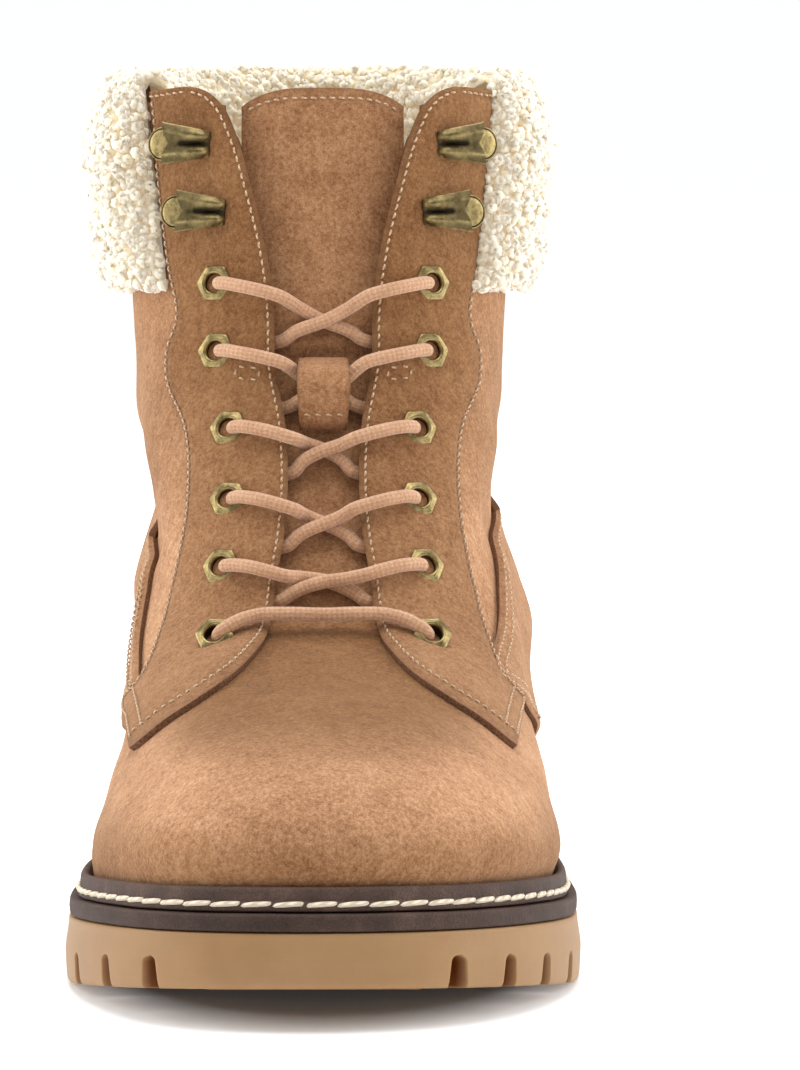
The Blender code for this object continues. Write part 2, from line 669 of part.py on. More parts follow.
def across(normal):
    """Two directions in the surface: level, and up."""
    side = np.cross((0.0, 0.0, 1.0), normal)
    side /= np.linalg.norm(side)
    return side, np.cross(normal, side)


def upper(last, holes):
    """One wall from the feather line to the top edge, with the throat and lace holes cut out."""
    levels = np.array((UPPER_FOOT, *NET_LEVELS[1:]))
    half = np.array(NET_SHARES)
    shares = np.concatenate([-half[:0:-1], half[:-1]])
    net = last.at(levels[:, None], shares[None, :])
    rows, columns = net.shape[:2]
    faces = net_faces(rows, columns, wrap=True)
    body = make_open("upper", net.reshape(-1, 3), faces, SUEDE)
    solidify(body, WALL, -1)
    inner = [(x * MM + THROAT_INSET, z * MM) for z, x in FACING_INNER[3:-1]]
    head, foot = ([(x * MM, z * MM) for z, x in rows] for rows in (THROAT_HEAD, THROAT_FOOT))
    outline = head + inner + foot
    outline += [(-x, z) for x, z in reversed(outline)]
    boolean(body, prism("cut_throat", outline, -80 * MM, 70 * MM, "Y"), "DIFFERENCE")
    boolean(body, holes, "DIFFERENCE")
    return body


def levels_from(lowest):
    """The net's levels from one up, and one above the top edge, so that overlays lie on its facets."""
    return np.array([level for level in NET_LEVELS if level >= lowest] + [1.04])


def facing(last, name, sign, holes):
    """The suede eyelet facing with its strap end, cut from a sheet laid on the upper."""
    shares = sign * np.array([share for share in NET_SHARES if share < 0.4])
    net = last.at(levels_from(0.11)[:, None], shares[None, :], OVERLAY_GAP)
    piece = sheet(name, net if sign > 0 else net[:, ::-1], SUEDE)
    solidify(piece, FACING_THICK, 1)
    outline = facing_outline(sign)
    boolean(piece, prism("cut_" + name, outline, -140 * MM, 60 * MM, "Y"), "INTERSECT")
    boolean(piece, holes, "DIFFERENCE")
    return piece


def tongue_offset(z):
    """Depth of the tongue's outer face under the upper's outer face."""
    return -(WALL + GAP) - np.interp(z, column(TONGUE_DROP, 0) * MM, column(TONGUE_DROP, 1) * MM)


def tongue(last):
    levels = levels_from(0.23)
    half = np.array([share for share in NET_SHARES if share < 0.22])
    shares = np.concatenate([-half[:0:-1], half])
    flat = last.at(levels[:, None], shares[None, :])
    net = last.at(levels[:, None], shares[None, :], tongue_offset(flat[..., 2]))
    piece = sheet("tongue", net, SUEDE)
    solidify(piece, TONGUE_THICK, -1)
    right = [(half * MM, z * MM) for z, half in TONGUE_HALF]
    outline = right + [(-x, z) for x, z in reversed(right)]
    boolean(piece, prism("cut_tongue", outline, -90 * MM, 70 * MM, "Y"), "INTERSECT")
    return piece


def quarter(last):
    """Suede panel round the heel, from one strap end to the other."""
    levels = np.array([QUARTER_FOOT] + [level for level in NET_LEVELS if QUARTER_FOOT < level < 0.6])
    half = np.array([share for share in NET_SHARES if share > 0.2])
    shares = np.concatenate([half, -half[-2::-1]])
    net = last.at(levels[:, None], shares[None, :], QUARTER_GAP)
    piece = sheet("quarter_overlay", net, SUEDE)
    solidify(piece, QUARTER_THICK, 1)
    outline = [(y * MM, z * MM) for z, y in QUARTER_FRONT + QUARTER_LOWER]
    back, floor, top = 140 * MM, 15 * MM, 130 * MM
    outline += [(12 * MM, floor), (back, floor), (back, QUARTER_TOP[0][0] * MM)]
    outline += [(y * MM, z * MM) for z, y in QUARTER_TOP]
    boolean(piece, prism("cut_quarter", outline, -70 * MM, 70 * MM, "X"), "INTERSECT")
    medial = [(y * MM, z * MM) for z, y in QUARTER_MEDIAL] + [(-60 * MM, 52 * MM), (-60 * MM, top), (back, top)]
    boolean(piece, prism("cut_quarter_medial", medial, -70 * MM, 0.0, "X"), "DIFFERENCE")
    for sign in (1, -1):
        shape = facing_outline(sign, OVERLAY_GAP)
        boolean(piece, prism("cut_quarter_strap", shape, -140 * MM, STRAP_REACH, "Y"), "DIFFERENCE")
    return piece


def collar(last):
    """Fleece cuff: a thick lumpy band outside, over the top edge and a little way down inside."""
    bottom, top = COLLAR_LOW * MM, SHAFT_TOP
    outer, close = COLLAR_THICK, 2.2 * GAP
    # The cuff's section: distance out from the shaft, height, and share of the lumps it carries.
    section = (
        (close, bottom + 1 * MM, 0), (4.2 * MM, bottom - 0.4 * MM, 0.6), (outer - 1.4 * MM, bottom + 0.8 * MM, 1),
        (outer - 0.6 * MM, bottom + 4.5 * MM, 1), (outer - 0.1 * MM, bottom + 9 * MM, 1),
        (outer + 0.1 * MM, bottom + 14 * MM, 1), (outer + 0.4 * MM, bottom + 19 * MM, 1),
        (outer + 0.9 * MM, bottom + 24 * MM, 1), (outer + 1.0 * MM, bottom + 29 * MM, 1),
        (outer, bottom + 34 * MM, 1), (outer - 1.6 * MM, bottom + 39 * MM, 1),
        (4.2 * MM, top + 0.9 * MM, 1), (1.4 * MM, top + 2.4 * MM, 1),
        (-3.4 * MM, top + 1.2 * MM, 1), (-6.4 * MM, top - 4 * MM, 0.7), (-WALL - COLLAR_INSIDE, top - 11 * MM, 0.6),
        (-WALL - 1.6 * MM, top - 18 * MM, 0.3), (-WALL - close, top - 16 * MM, 0), (-WALL - close, top + close, 0),
        (close, top + close, 0), (close, top - 20 * MM, 0),
    )
    columns = 36
    around = np.linspace(0, 1, columns)
    outer_x, outer_z = column(FACING_OUTER, 1) * MM, column(FACING_OUTER, 0) * MM
    net = []
    for offset, z, lump in section:
        start = last.share_at_x(np.interp(z, outer_z, outer_x) + 1.0 * MM, min(z, top))
        share = start + (2 - 2 * start) * around
        share = np.where(share > 1, share - 2, share)
        low = np.full(columns, BALL_RISE + HEEL_RISE)
        level = (z - low) / (SHAFT_TOP - low)
        for _ in range(3):
            low = feather(last.at(np.clip(level, 0, 1.03), share)[:, 1])
            level = (z - low) / (SHAFT_TOP - low)
        rounded = np.sqrt(np.clip(np.minimum(around, 1 - around) * columns / 3.2 + 0.35, 0, 1))
        arc = around * 240
        bumps = np.sin(arc * 1.05 + z / MM * 0.55) * np.sin(z / MM * 0.95 - arc * 0.32)
        bumps += 0.6 * np.sin(arc * 0.61 - z / MM * 0.43 + 1.3)
        reach = np.where(offset > close, close + (offset - close) * rounded, offset) + LUMP * lump * bumps * rounded
        line = last.at(np.clip(level, 0, 1.03), share, reach)
        line[:, 2] += z - (low + np.clip(level, 0, 1.03) * (SHAFT_TOP - low))
        net.append(line)
    net = np.array(net + net[:1])
    rows = net.shape[0]
    faces = net_faces(rows, columns)
    first = [i * columns for i in range(rows - 1)]
    faces += [tuple(first), tuple(i + columns - 1 for i in reversed(first))]
    return make("fleece_collar", net.reshape(-1, 3), faces, FLEECE)


def eyelet(last, name, x, z):
    """Six-sided flange on the facing with a barrel through facing and upper."""
    centre, normal = last.front(x, z)
    side, up = across(normal)
    low = FACING_OUT + FLANGE_GAP + (HOLLOW_LIFT if z < HOLLOW_BELOW * MM else 0)
    turn = np.arange(6) * math.pi / 3
    loops = (
        (EYELET_BORE, low + EYELET_LIFT), (EYELET_ACROSS / 2 - 0.5 * MM, low + EYELET_LIFT),
        (EYELET_ACROSS / 2, low), (EYELET_BARREL, low), (EYELET_BARREL, -WALL), (EYELET_BORE, -WALL),
        (EYELET_BORE, low + EYELET_LIFT),
    )
    ring = np.cos(turn)[:, None] * side + np.sin(turn)[:, None] * up
    net = np.array([centre + normal * height + radius * ring for radius, height in loops])
    return make(name, net.reshape(-1, 3), net_faces(len(loops), 6, wrap=True), BRASS)


def hook(last, name, x, z):
    """Lace hook: a folded strip with its bend towards the throat and a round outer end."""
    sign = 1 if x > 0 else -1
    centre, normal = last.front(x, z)
    side, up = across(normal)
    side = side * (1 if np.dot(side, (sign, 0, 0)) > 0 else -1)
    low = FACING_OUT + FLANGE_GAP
    points = []
    for out_a, out_h, in_a, in_h, half in HOOK_STRIP:
        for a, h, w in ((out_a, out_h, half), (out_a, out_h, -half), (in_a, in_h, -half), (in_a, in_h, half)):
            points.append(centre + side * a * MM + normal * (low + h * MM) + up * w * MM)
    rows = len(HOOK_STRIP)
    faces = net_faces(rows, 4, wrap=True)
    faces += [(0, 1, 2, 3), tuple(4 * rows - k for k in (1, 2, 3, 4))]
    return make(name, points, faces, BRASS)


def on_front(last, x, z, offset):
    """A point above the front of the boot; x and z in millimetres."""
    point, normal = last.front(x * MM, z * MM)
    return point + normal * offset


def half_gap(z):
    """Half the width between the facings at a height, in millimetres."""
    rows = FACING_INNER[::-1]
    return float(np.interp(z, column(rows, 0), column(rows, 1)))


def lace_run(last, row, sign, on_top):
    """One lace of a crossing: off the facing, over the tongue, up to the far facing's edge."""
    z_high, x_high = EYELETS[row]
    middle, entry = CROSSINGS[row]
    above = FACING_OUT + FLANGE_GAP + LACE_RADIUS
    rest = tongue_offset(middle * MM) + FLANGE_GAP + LACE_RADIUS
    edge = half_gap(z_high - 2)
    far = half_gap(entry) - 1.9
    high = rest + (1.1 * LACE_RADIUS if on_top else 0)
    stations = (
        (x_high - 5.0, z_high - 0.9, above + 0.3 * MM),
        (edge + 0.6, z_high - 2.4, above + 0.4 * MM),
        (edge - 1.6, z_high - 3.3, above - 0.8 * MM),
        (edge * 0.45, middle * 0.55 + z_high * 0.45 - 1.6, high + 0.4 * MM),
        (0.0, middle, high),
        (-far, entry, rest + 0.1 * MM),
    )
    path = [on_front(last, sign * x, z, offset) for x, z, offset in stations]
    return open_curve(path, 2)


def open_curve(points, steps):
    """A smooth open curve through points."""
    points = np.array(points)
    length = np.concatenate([[0], np.cumsum(np.linalg.norm(np.diff(points, axis=0), axis=1))])
    at = np.interp(np.arange((len(points) - 1) * steps + 1) / steps, np.arange(len(points)), length)
    return np.stack([through(at, length, points[:, k]) for k in range(3)], axis=1)


def crossing(last, number):
    """Two laces joined where they cross; the lace from the lateral eyelet lies on top."""
    name = f"lace_crossing_{number + 1}"
    over = tube(name, lace_run(last, number, 1, True), LACE_RADIUS, CORD)
    under = tube(name + "_under", lace_run(last, number, -1, False), LACE_RADIUS, None)
    boolean(over, under, "UNION")
    return over


def lace_bar(last):
    """The straight run between the two lowest eyelets."""
    z, x = EYELETS[-1]
    above = FACING_OUT + FLANGE_GAP + LACE_RADIUS
    stations = (
        (x - 4.6, z + 1.4, above + 0.3 * MM), (x - 9, z + 3.4, above + 0.3 * MM), (7.0, z + 4.8, above - 0.1 * MM),
        (0.0, z + 5.2, above - 0.4 * MM), (-7.0, z + 4.8, above - 0.1 * MM), (9 - x, z + 3.4, above + 0.3 * MM),
        (4.6 - x, z + 1.4, above + 0.3 * MM),
    )
    path = [on_front(last, px, pz, offset) for px, pz, offset in stations]
    return tube("lace_bar", open_curve(path, 2), LACE_RADIUS, CORD)


def keeper(last):
    """The loop on the tongue that the lace passes under."""
    rows = 9
    net = []
    for t in np.linspace(0, 1, rows):
        z = KEEPER_Z[0] + t * (KEEPER_Z[1] - KEEPER_Z[0])
        rise = KEEPER_ROOM * min(1.0, 2.6 * min(t, 1 - t)) ** 0.7
        offset = tongue_offset(z * MM) + 2 * GAP + rise
        net.append([on_front(last, x, z, offset) for x in (-KEEPER_HALF, 0, KEEPER_HALF)])
    piece = sheet("lace_keeper", np.array(net), SUEDE)
    solidify(piece, KEEPER_THICK, 1)
    return piece


# ---------------------------------------------------------------- assembly

def main():
    for obj in list(bpy.data.objects):
        bpy.data.objects.remove(obj)
    last = Last()
    outsole()
    midsole()
    insole()
    welt()
    holes = hole_cutters(last, "cut_lace_holes", EYELET_BARREL + 2 * GAP)
    upper(last, holes)
    tongue(last)
    facing(last, "facing_lateral", 1, holes)
    facing(last, "facing_medial", -1, holes)
    quarter(last)
    collar(last)
    keeper(last)
    for side, sign in (("lateral", 1), ("medial", -1)):
        for number, (z, x) in enumerate(EYELETS, 1):
            eyelet(last, f"eyelet_{side}_{number}", sign * x * MM, z * MM)
        for number, (z, x) in enumerate(HOOKS, 1):
            hook(last, f"hook_{side}_{number}", sign * x * MM, z * MM)
    for number in range(len(EYELETS) - 1):
        crossing(last, number)
    lace_bar(last)


main()
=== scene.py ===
"""Heeled suede ankle boot with a fleece cuff: its dressed pieces, finishes, light and camera."""

import logging
import math
from dataclasses import dataclass, field
from enum import Enum

import bmesh
import bpy
import numpy as np
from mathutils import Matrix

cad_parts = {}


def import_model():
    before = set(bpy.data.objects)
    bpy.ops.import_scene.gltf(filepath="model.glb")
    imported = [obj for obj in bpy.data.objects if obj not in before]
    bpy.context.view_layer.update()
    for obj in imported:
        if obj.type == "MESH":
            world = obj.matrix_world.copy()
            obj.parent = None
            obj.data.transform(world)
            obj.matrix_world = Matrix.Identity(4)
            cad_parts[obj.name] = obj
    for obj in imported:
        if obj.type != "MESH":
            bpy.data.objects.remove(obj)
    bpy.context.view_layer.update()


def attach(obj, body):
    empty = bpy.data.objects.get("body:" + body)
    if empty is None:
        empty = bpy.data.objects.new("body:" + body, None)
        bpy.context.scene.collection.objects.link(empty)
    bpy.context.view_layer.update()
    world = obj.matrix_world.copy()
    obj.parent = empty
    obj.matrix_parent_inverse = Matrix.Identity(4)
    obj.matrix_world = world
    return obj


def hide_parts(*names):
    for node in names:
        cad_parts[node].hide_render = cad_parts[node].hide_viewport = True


MM = 0.001
BODY = "root"
LOG = logging.getLogger("boot")

Array = np.ndarray
Chance = np.random.Generator
Piece = bpy.types.Object
Socket = bpy.types.NodeSocket


# ---------------------------------------------------------------- curves and tables

def table(rows: tuple, index: int) -> Array:
    """One column of a table of rows, as an array."""
    return np.array([row[index] for row in rows], float)


def read(rows: tuple, at: Array) -> Array:
    """Values of a table of (place, value) rows, straight from row to row."""
    return np.interp(at, table(rows, 0), table(rows, 1))


def hermite(t: Array, width: Array, start: Array, leaving: Array, end: Array, arriving: Array) -> Array:
    """The cubic over a span that has given values and slopes at its two ends.

    Args:
        t: Shares of the span where it is wanted.
        width: The span's width.
        start: Value at its start.
        leaving: Slope there.
        end: Value at its end.
        arriving: Slope there.

    Returns:
        The cubic's values.
    """
    return (
        (2 * t**3 - 3 * t**2 + 1) * start
        + (t**3 - 2 * t**2 + t) * width * leaving
        + (3 * t**2 - 2 * t**3) * end
        + (t**3 - t**2) * width * arriving
    )


def through(at: Array, xs: Array, ys: Array) -> Array:
    """A smooth curve through table rows, with the table's own slopes at each row.

    Args:
        at: Places where the curve is wanted.
        xs: The table's places, rising.
        ys: The table's values.

    Returns:
        The curve's value at each place.
    """
    at = np.clip(at, xs[0], xs[-1])
    slopes = np.gradient(ys, xs)
    i = np.clip(np.searchsorted(xs, at, side="right") - 1, 0, len(xs) - 2)
    width = xs[i + 1] - xs[i]
    return hermite((at - xs[i]) / width, width, ys[i], slopes[i], ys[i + 1], slopes[i + 1])


def smoothstep(t: Array) -> Array:
    """Rises from 0 to 1 with level ends: 3t squared less 2t cubed."""
    t = np.clip(t, 0, 1)
    return t * t * (3 - 2 * t)


def bell(distance: Array, width: float) -> Array:
    """A smooth hump one high: e to minus the square of distance over width."""
    return np.exp(-((distance / width) ** 2))


def unit(vectors: Array) -> Array:
    """The same directions, each one long."""
    length = np.linalg.norm(vectors, axis=-1, keepdims=True)
    return vectors / np.maximum(length, 1e-12)


def closed_curve(points: Array, samples: int) -> Array:
    """A closed cubic spline by chord length, whose bend changes evenly from span to span.

    Args:
        points: The points it goes through, in order.
        samples: How many steps each span has.

    Returns:
        The curve's points.
    """
    count = len(points)
    here = np.arange(count)
    ahead = np.roll(points, -1, axis=0)
    chord = np.linalg.norm(ahead - points, axis=1)
    before = np.roll(chord, 1)
    rise = (ahead - points) / chord[:, None]
    system = np.zeros((count, count))
    system[here, here - 1] += chord
    system[here, here] += 2 * (chord + before)
    system[here, (here + 1) % count] += before
    slope = np.linalg.solve(system, 3 * (chord[:, None] * np.roll(rise, 1, axis=0) + before[:, None] * rise))
    t = (np.arange(samples) / samples)[None, :, None]
    after = np.roll(slope, -1, axis=0)
    spans = hermite(t, chord[:, None, None], points[:, None], slope[:, None], ahead[:, None], after[:, None])
    return spans.reshape(-1, points.shape[1])


def run_length(line: Array) -> Array:
    """Distance along a line of points, from its start to each of them."""
    return np.concatenate([[0.0], np.cumsum(np.linalg.norm(np.diff(line, axis=0), axis=1))])


def on_line(line: Array, shares: Array, measured: int = 2) -> Array:
    """Rows of a line at shares of its length.

    Args:
        line: Points, with any further columns carried along.
        shares: From 0 at the start to 1 at the end.
        measured: How many first columns the length is measured in.

    Returns:
        One row for each share.
    """
    length = run_length(line[:, :measured])
    return np.stack([np.interp(shares * length[-1], length, column) for column in line.T], axis=1)


def open_curve(points: tuple, step: float) -> Array:
    """A smooth open curve through points, cut into even steps.

    Args:
        points: The points it goes through.
        step: Length of a step, in the points' own units.

    Returns:
        The curve's points.
    """
    points = np.asarray(points, float)
    length = run_length(points)
    fine = np.linspace(0, length[-1], 40 * len(points))
    curve = np.stack([through(fine, length, column) for column in points.T], axis=1)
    total = run_length(curve)[-1]
    return on_line(curve, np.linspace(0, 1, max(int(round(total / step)), 2) + 1), points.shape[1])


def offset_path(path: Array, by: float) -> Array:
    """A plane path moved to its left by a distance, in its own units."""
    ahead = unit(np.gradient(path, axis=0))
    return path + by * np.stack([-ahead[:, 1], ahead[:, 0]], axis=1)


def distance_to(places: Array, path: Array) -> Array:
    """Shortest distance from each place to a path's points, in the plane."""
    parts = np.array_split(places.reshape(-1, 2), 12)
    found = [np.linalg.norm(part[:, None] - path[None], axis=2).min(axis=1) for part in parts]
    return np.concatenate(found).reshape(places.shape[:-1])


def softened(path: Array, times: int) -> Array:
    """A path with its corners eased: each point but the ends moves half way to between its neighbours."""
    for _ in range(times):
        path[1:-1] = path[1:-1] / 2 + (path[:-2] + path[2:]) / 4
    return path


# ---------------------------------------------------------------- the last

@dataclass(frozen=True)
class LastSizes:
    """The boot's girdles and the height of its bottom line, in millimetres."""

    shaft_top: float = 180.0
    ball_rise: float = 21.0
    heel_rise: float = 27.0
    arch: tuple = (-45.0, 85.0)
    spring_start: float = -50.0
    spring_blend: float = 25.0
    spring_slope: float = 0.118
    toe_thinning: float = 0.72
    breast: float = 55.0
    shank_rise: float = 27.0
    shank: tuple = (-12.0, 54.0)
    stations: tuple = (0.03, 0.10, 0.33, 0.62, 0.88)
    # level, front, half-widths at the stations, back
    rows: tuple = (
        (0.00, -129.8, 23.5, 36.3, 45.9, 34.4, 32.9, 129.8),
        (0.03, -131.0, 25.0, 37.8, 46.8, 35.6, 34.0, 130.3),
        (0.06, -130.8, 25.2, 37.9, 46.4, 37.2, 35.0, 130.5),
        (0.09, -129.0, 23.2, 35.6, 45.2, 38.4, 35.8, 130.2),
        (0.12, -124.5, 20.4, 32.6, 44.3, 39.4, 36.0, 129.5),
        (0.15, -116.7, 18.8, 30.2, 42.0, 38.8, 35.9, 128.5),
        (0.18, -105.5, 17.6, 28.2, 40.4, 38.0, 35.3, 127.2),
        (0.21, -90.0, 16.6, 26.6, 39.4, 37.0, 34.4, 125.6),
        (0.24, -73.5, 15.9, 25.8, 38.9, 36.2, 33.2, 123.8),
        (0.27, -55.5, 15.7, 26.0, 38.2, 35.4, 31.8, 122.0),
        (0.30, -39.5, 16.0, 26.8, 37.4, 34.7, 30.4, 120.5),
        (0.34, -30.0, 16.4, 27.2, 35.9, 33.9, 29.2, 119.0),
        (0.40, -21.5, 16.5, 27.5, 36.1, 35.3, 28.0, 118.0),
        (0.47, -11.5, 15.6, 26.8, 38.2, 38.0, 27.6, 117.8),
        (0.56, -1.0, 15.0, 26.4, 38.5, 38.5, 27.9, 118.2),
        (0.68, 8.0, 14.9, 26.1, 39.3, 39.4, 28.5, 119.2),
        (0.84, 15.5, 15.0, 26.3, 40.3, 40.4, 29.0, 120.8),
        (1.00, 20.0, 15.1, 26.5, 40.7, 40.8, 29.3, 122.0),
    )
    # how far the girdles' middles stand to the outer side: by place along the foot, fading by level,
    # and then by level alone
    swing: tuple = ((-130, -3.5), (-104, -1.3), (-44, 0.3), (31, 3.0), (98, 0.6), (130, 0.0))
    swing_fade: tuple = ((0.0, 1.0), (0.3, 0.55), (0.6, 0.0), (1.04, 0.0))
    lean: tuple = (
        (0.0, 0.0), (0.04, 0.8), (0.12, 0.8), (0.17, -0.3), (0.25, -0.4), (0.33, -0.6),
        (0.40, -1.3), (0.48, -1.5), (0.58, -0.9), (1.04, -0.9),
    )


@dataclass(frozen=True)
class Bottom:
    """Heights of the boot's bottom lines along the foot."""

    sizes: LastSizes

    def toe_spring(self, y: Array) -> Array:
        """How far the forefoot lifts in front of the ball: a bend, then a straight climb."""
        s = self.sizes
        blend = s.spring_blend * MM
        t = np.maximum(s.spring_start * MM - y, 0)
        return s.spring_slope * np.where(t < blend, t**2 / (2 * blend), t - blend / 2)

    def feather(self, y: Array) -> Array:
        """Height where the upper meets the bottom: ball, part of the toe spring, climb to the heel."""
        s = self.sizes
        climb = smoothstep((y / MM - s.arch[0]) / (s.arch[1] - s.arch[0]))
        return s.ball_rise * MM + s.toe_thinning * self.toe_spring(y) + s.heel_rise * MM * climb

    def tread(self, y: Array) -> Array:
        """Underside of the rubber: toe spring, flat forefoot, shank and then the flat heel."""
        s = self.sizes
        shank = s.shank_rise * MM * smoothstep((y / MM - s.shank[0]) / (s.shank[1] - s.shank[0]))
        return np.where(y < s.breast * MM, self.toe_spring(y) + shank, 0.0)


@dataclass(frozen=True)
class Fold:
    """One soft trough pressed into the suede along a path of (distance along the foot, height).

    It lies on the side 1 lateral, -1 medial, or 0 for both.
    """

    side: int
    path: tuple
    width: float
    depth: float


def between(found: Array, i: Array, j: Array) -> Array:
    """Vectors of a net at broken rows and columns, blended from the four nearest.

    Args:
        found: The net, as rows by columns by the vectors' length.
        i: Rows.
        j: Columns.

    Returns:
        The blended vectors.
    """
    i0 = np.clip(np.floor(i).astype(int), 0, found.shape[0] - 2)
    j0 = np.clip(np.floor(j).astype(int), 0, found.shape[1] - 2)
    s, t = (i - i0)[..., None], (j - j0)[..., None]
    return (
        found[i0, j0] * (1 - s) * (1 - t) + found[i0 + 1, j0] * s * (1 - t)
        + found[i0, j0 + 1] * (1 - s) * t + found[i0 + 1, j0 + 1] * s * t
    )


class Last:
    """The boot's outer surface as a dense net, which every piece of the upper lies on."""

    LEVELS = 221
    SHARES = 481
    # the part of each girdle that the front tables cover
    FRONT = slice(int(SHARES * 0.29), int(SHARES * 0.71) + 1)

    def __init__(self, sizes: LastSizes, folds: tuple = ()) -> None:
        """Works out the net, presses the folds into it, and makes the look-up tables.

        Args:
            sizes: The girdles.
            folds: Troughs to press in.
        """
        self.sizes = sizes
        self.bottom = Bottom(sizes)
        self.levels = np.linspace(-0.01, 1.05, self.LEVELS)
        self.shares = np.linspace(-1, 1, self.SHARES)
        half = np.linspace(0, 1, self.SHARES // 2 + 1)
        rows = []
        for level in self.levels:
            lateral, medial = (on_line(side, half) for side in self.girdle(level))
            plan = np.concatenate([medial[:0:-1], lateral])
            low = self.bottom.feather(plan[:, 1])
            rows.append(np.column_stack([plan, low + level * (sizes.shaft_top * MM - low)]))
        self.points = np.array(rows)
        self.normals = self.outward()
        relief = np.zeros(self.points.shape[:2])
        for fold in folds:
            relief -= self.trough(fold)
        self.points = self.points + self.normals * relief[..., None]
        self.normals = self.outward()
        self.front_tables()

    def swing_at(self, y: Array, level: float) -> Array:
        """How far a girdle's middle stands to the outer side at one point of its length."""
        s = self.sizes
        along = np.interp(y, table(s.swing, 0) * MM, table(s.swing, 1) * MM)
        return along * read(s.swing_fade, level) + np.interp(level, table(s.lean, 0), table(s.lean, 1) * MM)

    def girdle(self, level: float) -> tuple:
        """One closed girdle in plan, as two lines from front to back.

        Args:
            level: Share of the way from the feather line to the top edge.

        Returns:
            The lateral line and the medial line.
        """
        s, samples = self.sizes, 48
        levels = table(s.rows, 0)
        values = [float(through(np.array(level), levels, table(s.rows, k))) * MM for k in range(1, 8)]
        front, halves, back = values[0], np.array(values[1:6]), values[6]
        y = front + np.array(s.stations) * (back - front)
        shift = self.swing_at(y, level)
        curve = closed_curve(np.concatenate([
            [(self.swing_at(front, level), front)], np.column_stack([shift + halves, y]),
            [(self.swing_at(back, level), back)], np.column_stack([shift - halves, y])[::-1],
        ]), samples)
        turn = samples * (len(y) + 1)
        return curve[: turn + 1], np.concatenate([curve[:1], curve[: turn - 1: -1]])

    def outward(self) -> Array:
        """Outward normals of the net: across the girdle, by up the boot."""
        round_it = np.gradient(self.points, axis=1)
        round_it[:, 0] = round_it[:, -1] = (self.points[:, 1] - self.points[:, -2]) / 2
        return unit(np.cross(round_it, np.gradient(self.points, axis=0)))

    def trough(self, fold: Fold) -> Array:
        """Depth of one fold over the net: a bell across its path, fading at both ends.

        Args:
            fold: The fold.

        Returns:
            Depth at each point of the net, in metres.
        """
        line = open_curve(np.array(fold.path, float) * MM, 0.8 * MM)
        place = np.linspace(0, 1, len(line))
        near = np.linalg.norm(self.points[..., 1:].reshape(-1, 2)[:, None] - line[None], axis=2)
        ends = smoothstep(np.minimum(place, 1 - place)[near.argmin(axis=1)] * 3.2)
        depth = fold.depth * MM * ends * bell(near.min(axis=1), fold.width * MM)
        side = smoothstep(0.5 + fold.side * self.points[..., 0] / (14 * MM)) if fold.side else 1.0
        return depth.reshape(self.points.shape[:2]) * side

    def at(self, level: Array, share: Array, offset: Array = 0.0) -> Array:
        """Points at a level and a signed share of the half girdle, moved out along the normal.

        Args:
            level: From 0 at the feather line to 1 at the top edge.
            share: From 0 at the front to 1 at the back, minus on the medial side.
            offset: Distance outside the surface, in metres.

        Returns:
            The points.
        """
        level, share, offset = np.broadcast_arrays(level, share, offset)
        point, normal = self.blend(level, share)
        return point + normal * offset[..., None]

    def blend(self, level: Array, share: Array) -> tuple:
        """Point and normal at a level and share."""
        i = (level - self.levels[0]) / (self.levels[1] - self.levels[0])
        j = (share + 1) / (self.shares[1] - self.shares[0])
        return between(self.points, i, j), unit(between(self.normals, i, j))

    def front_tables(self) -> None:
        """A net of levels and shares over places seen from the front, and the widest x by height."""
        x_net, z_net = self.points[:, self.FRONT, 0], self.points[:, self.FRONT, 2]
        self.x_grid = np.linspace(-44, 44, 353) * MM
        self.z_grid = np.linspace(24, 186, 649) * MM
        share = np.array([np.interp(self.x_grid, row, self.shares[self.FRONT]) for row in x_net])
        height = np.array([np.interp(self.x_grid, row, z) for row, z in zip(x_net, z_net)])
        level = [np.interp(self.z_grid, column, self.levels) for column in height.T]
        share = [np.interp(found, self.levels, column) for found, column in zip(level, share.T)]
        self.front_net = np.stack([np.array(level).T, np.array(share).T], axis=-1)
        row = np.arange(len(x_net))
        self.widest = tuple(
            np.interp(self.z_grid, z_net[row, at], np.abs(x_net[row, at]))
            for at in (np.minimum(x_net, 0).argmin(axis=1), np.maximum(x_net, 0).argmax(axis=1))
        )

    def seen(self, x: Array, z: Array) -> tuple:
        """Level and share of the front of the boot at places seen from the front.

        Places past the boot's edge, seen from there, are drawn in to just inside it.

        Args:
            x: Distance to the outer side, in metres.
            z: Height, in metres.

        Returns:
            Levels and shares.
        """
        x, z = np.broadcast_arrays(np.asarray(x, float), np.asarray(z, float))
        widest = np.where(x < 0, *(np.interp(z, self.z_grid, side) for side in self.widest))
        over = np.maximum(np.abs(x) - (widest - 1.6 * MM), 0) / (1.3 * MM)
        x = np.where(over > 0, np.sign(x) * (widest - 0.3 * MM - 1.3 * MM * np.exp(-over)), x)
        i, j = (
            np.clip((place - grid[0]) / (grid[1] - grid[0]), 0, len(grid) - 1.001)
            for place, grid in ((z, self.z_grid), (x, self.x_grid))
        )
        found = between(self.front_net, i, j)
        return found[..., 0], found[..., 1]

    def faced(self, x: Array, z: Array) -> tuple:
        """Point and normal on the front of the boot, from x and height in millimetres."""
        return self.blend(*self.seen(np.asarray(x, float) * MM, np.asarray(z, float) * MM))

    def front(self, x: Array, z: Array, offset: Array) -> Array:
        """Points above the front of the boot.

        Args:
            x: Distance to the outer side, in millimetres.
            z: Height, in millimetres.
            offset: Distance outside the surface, in millimetres.

        Returns:
            The points.
        """
        point, normal = self.faced(x, z)
        return point + normal * (offset * MM)[..., None]

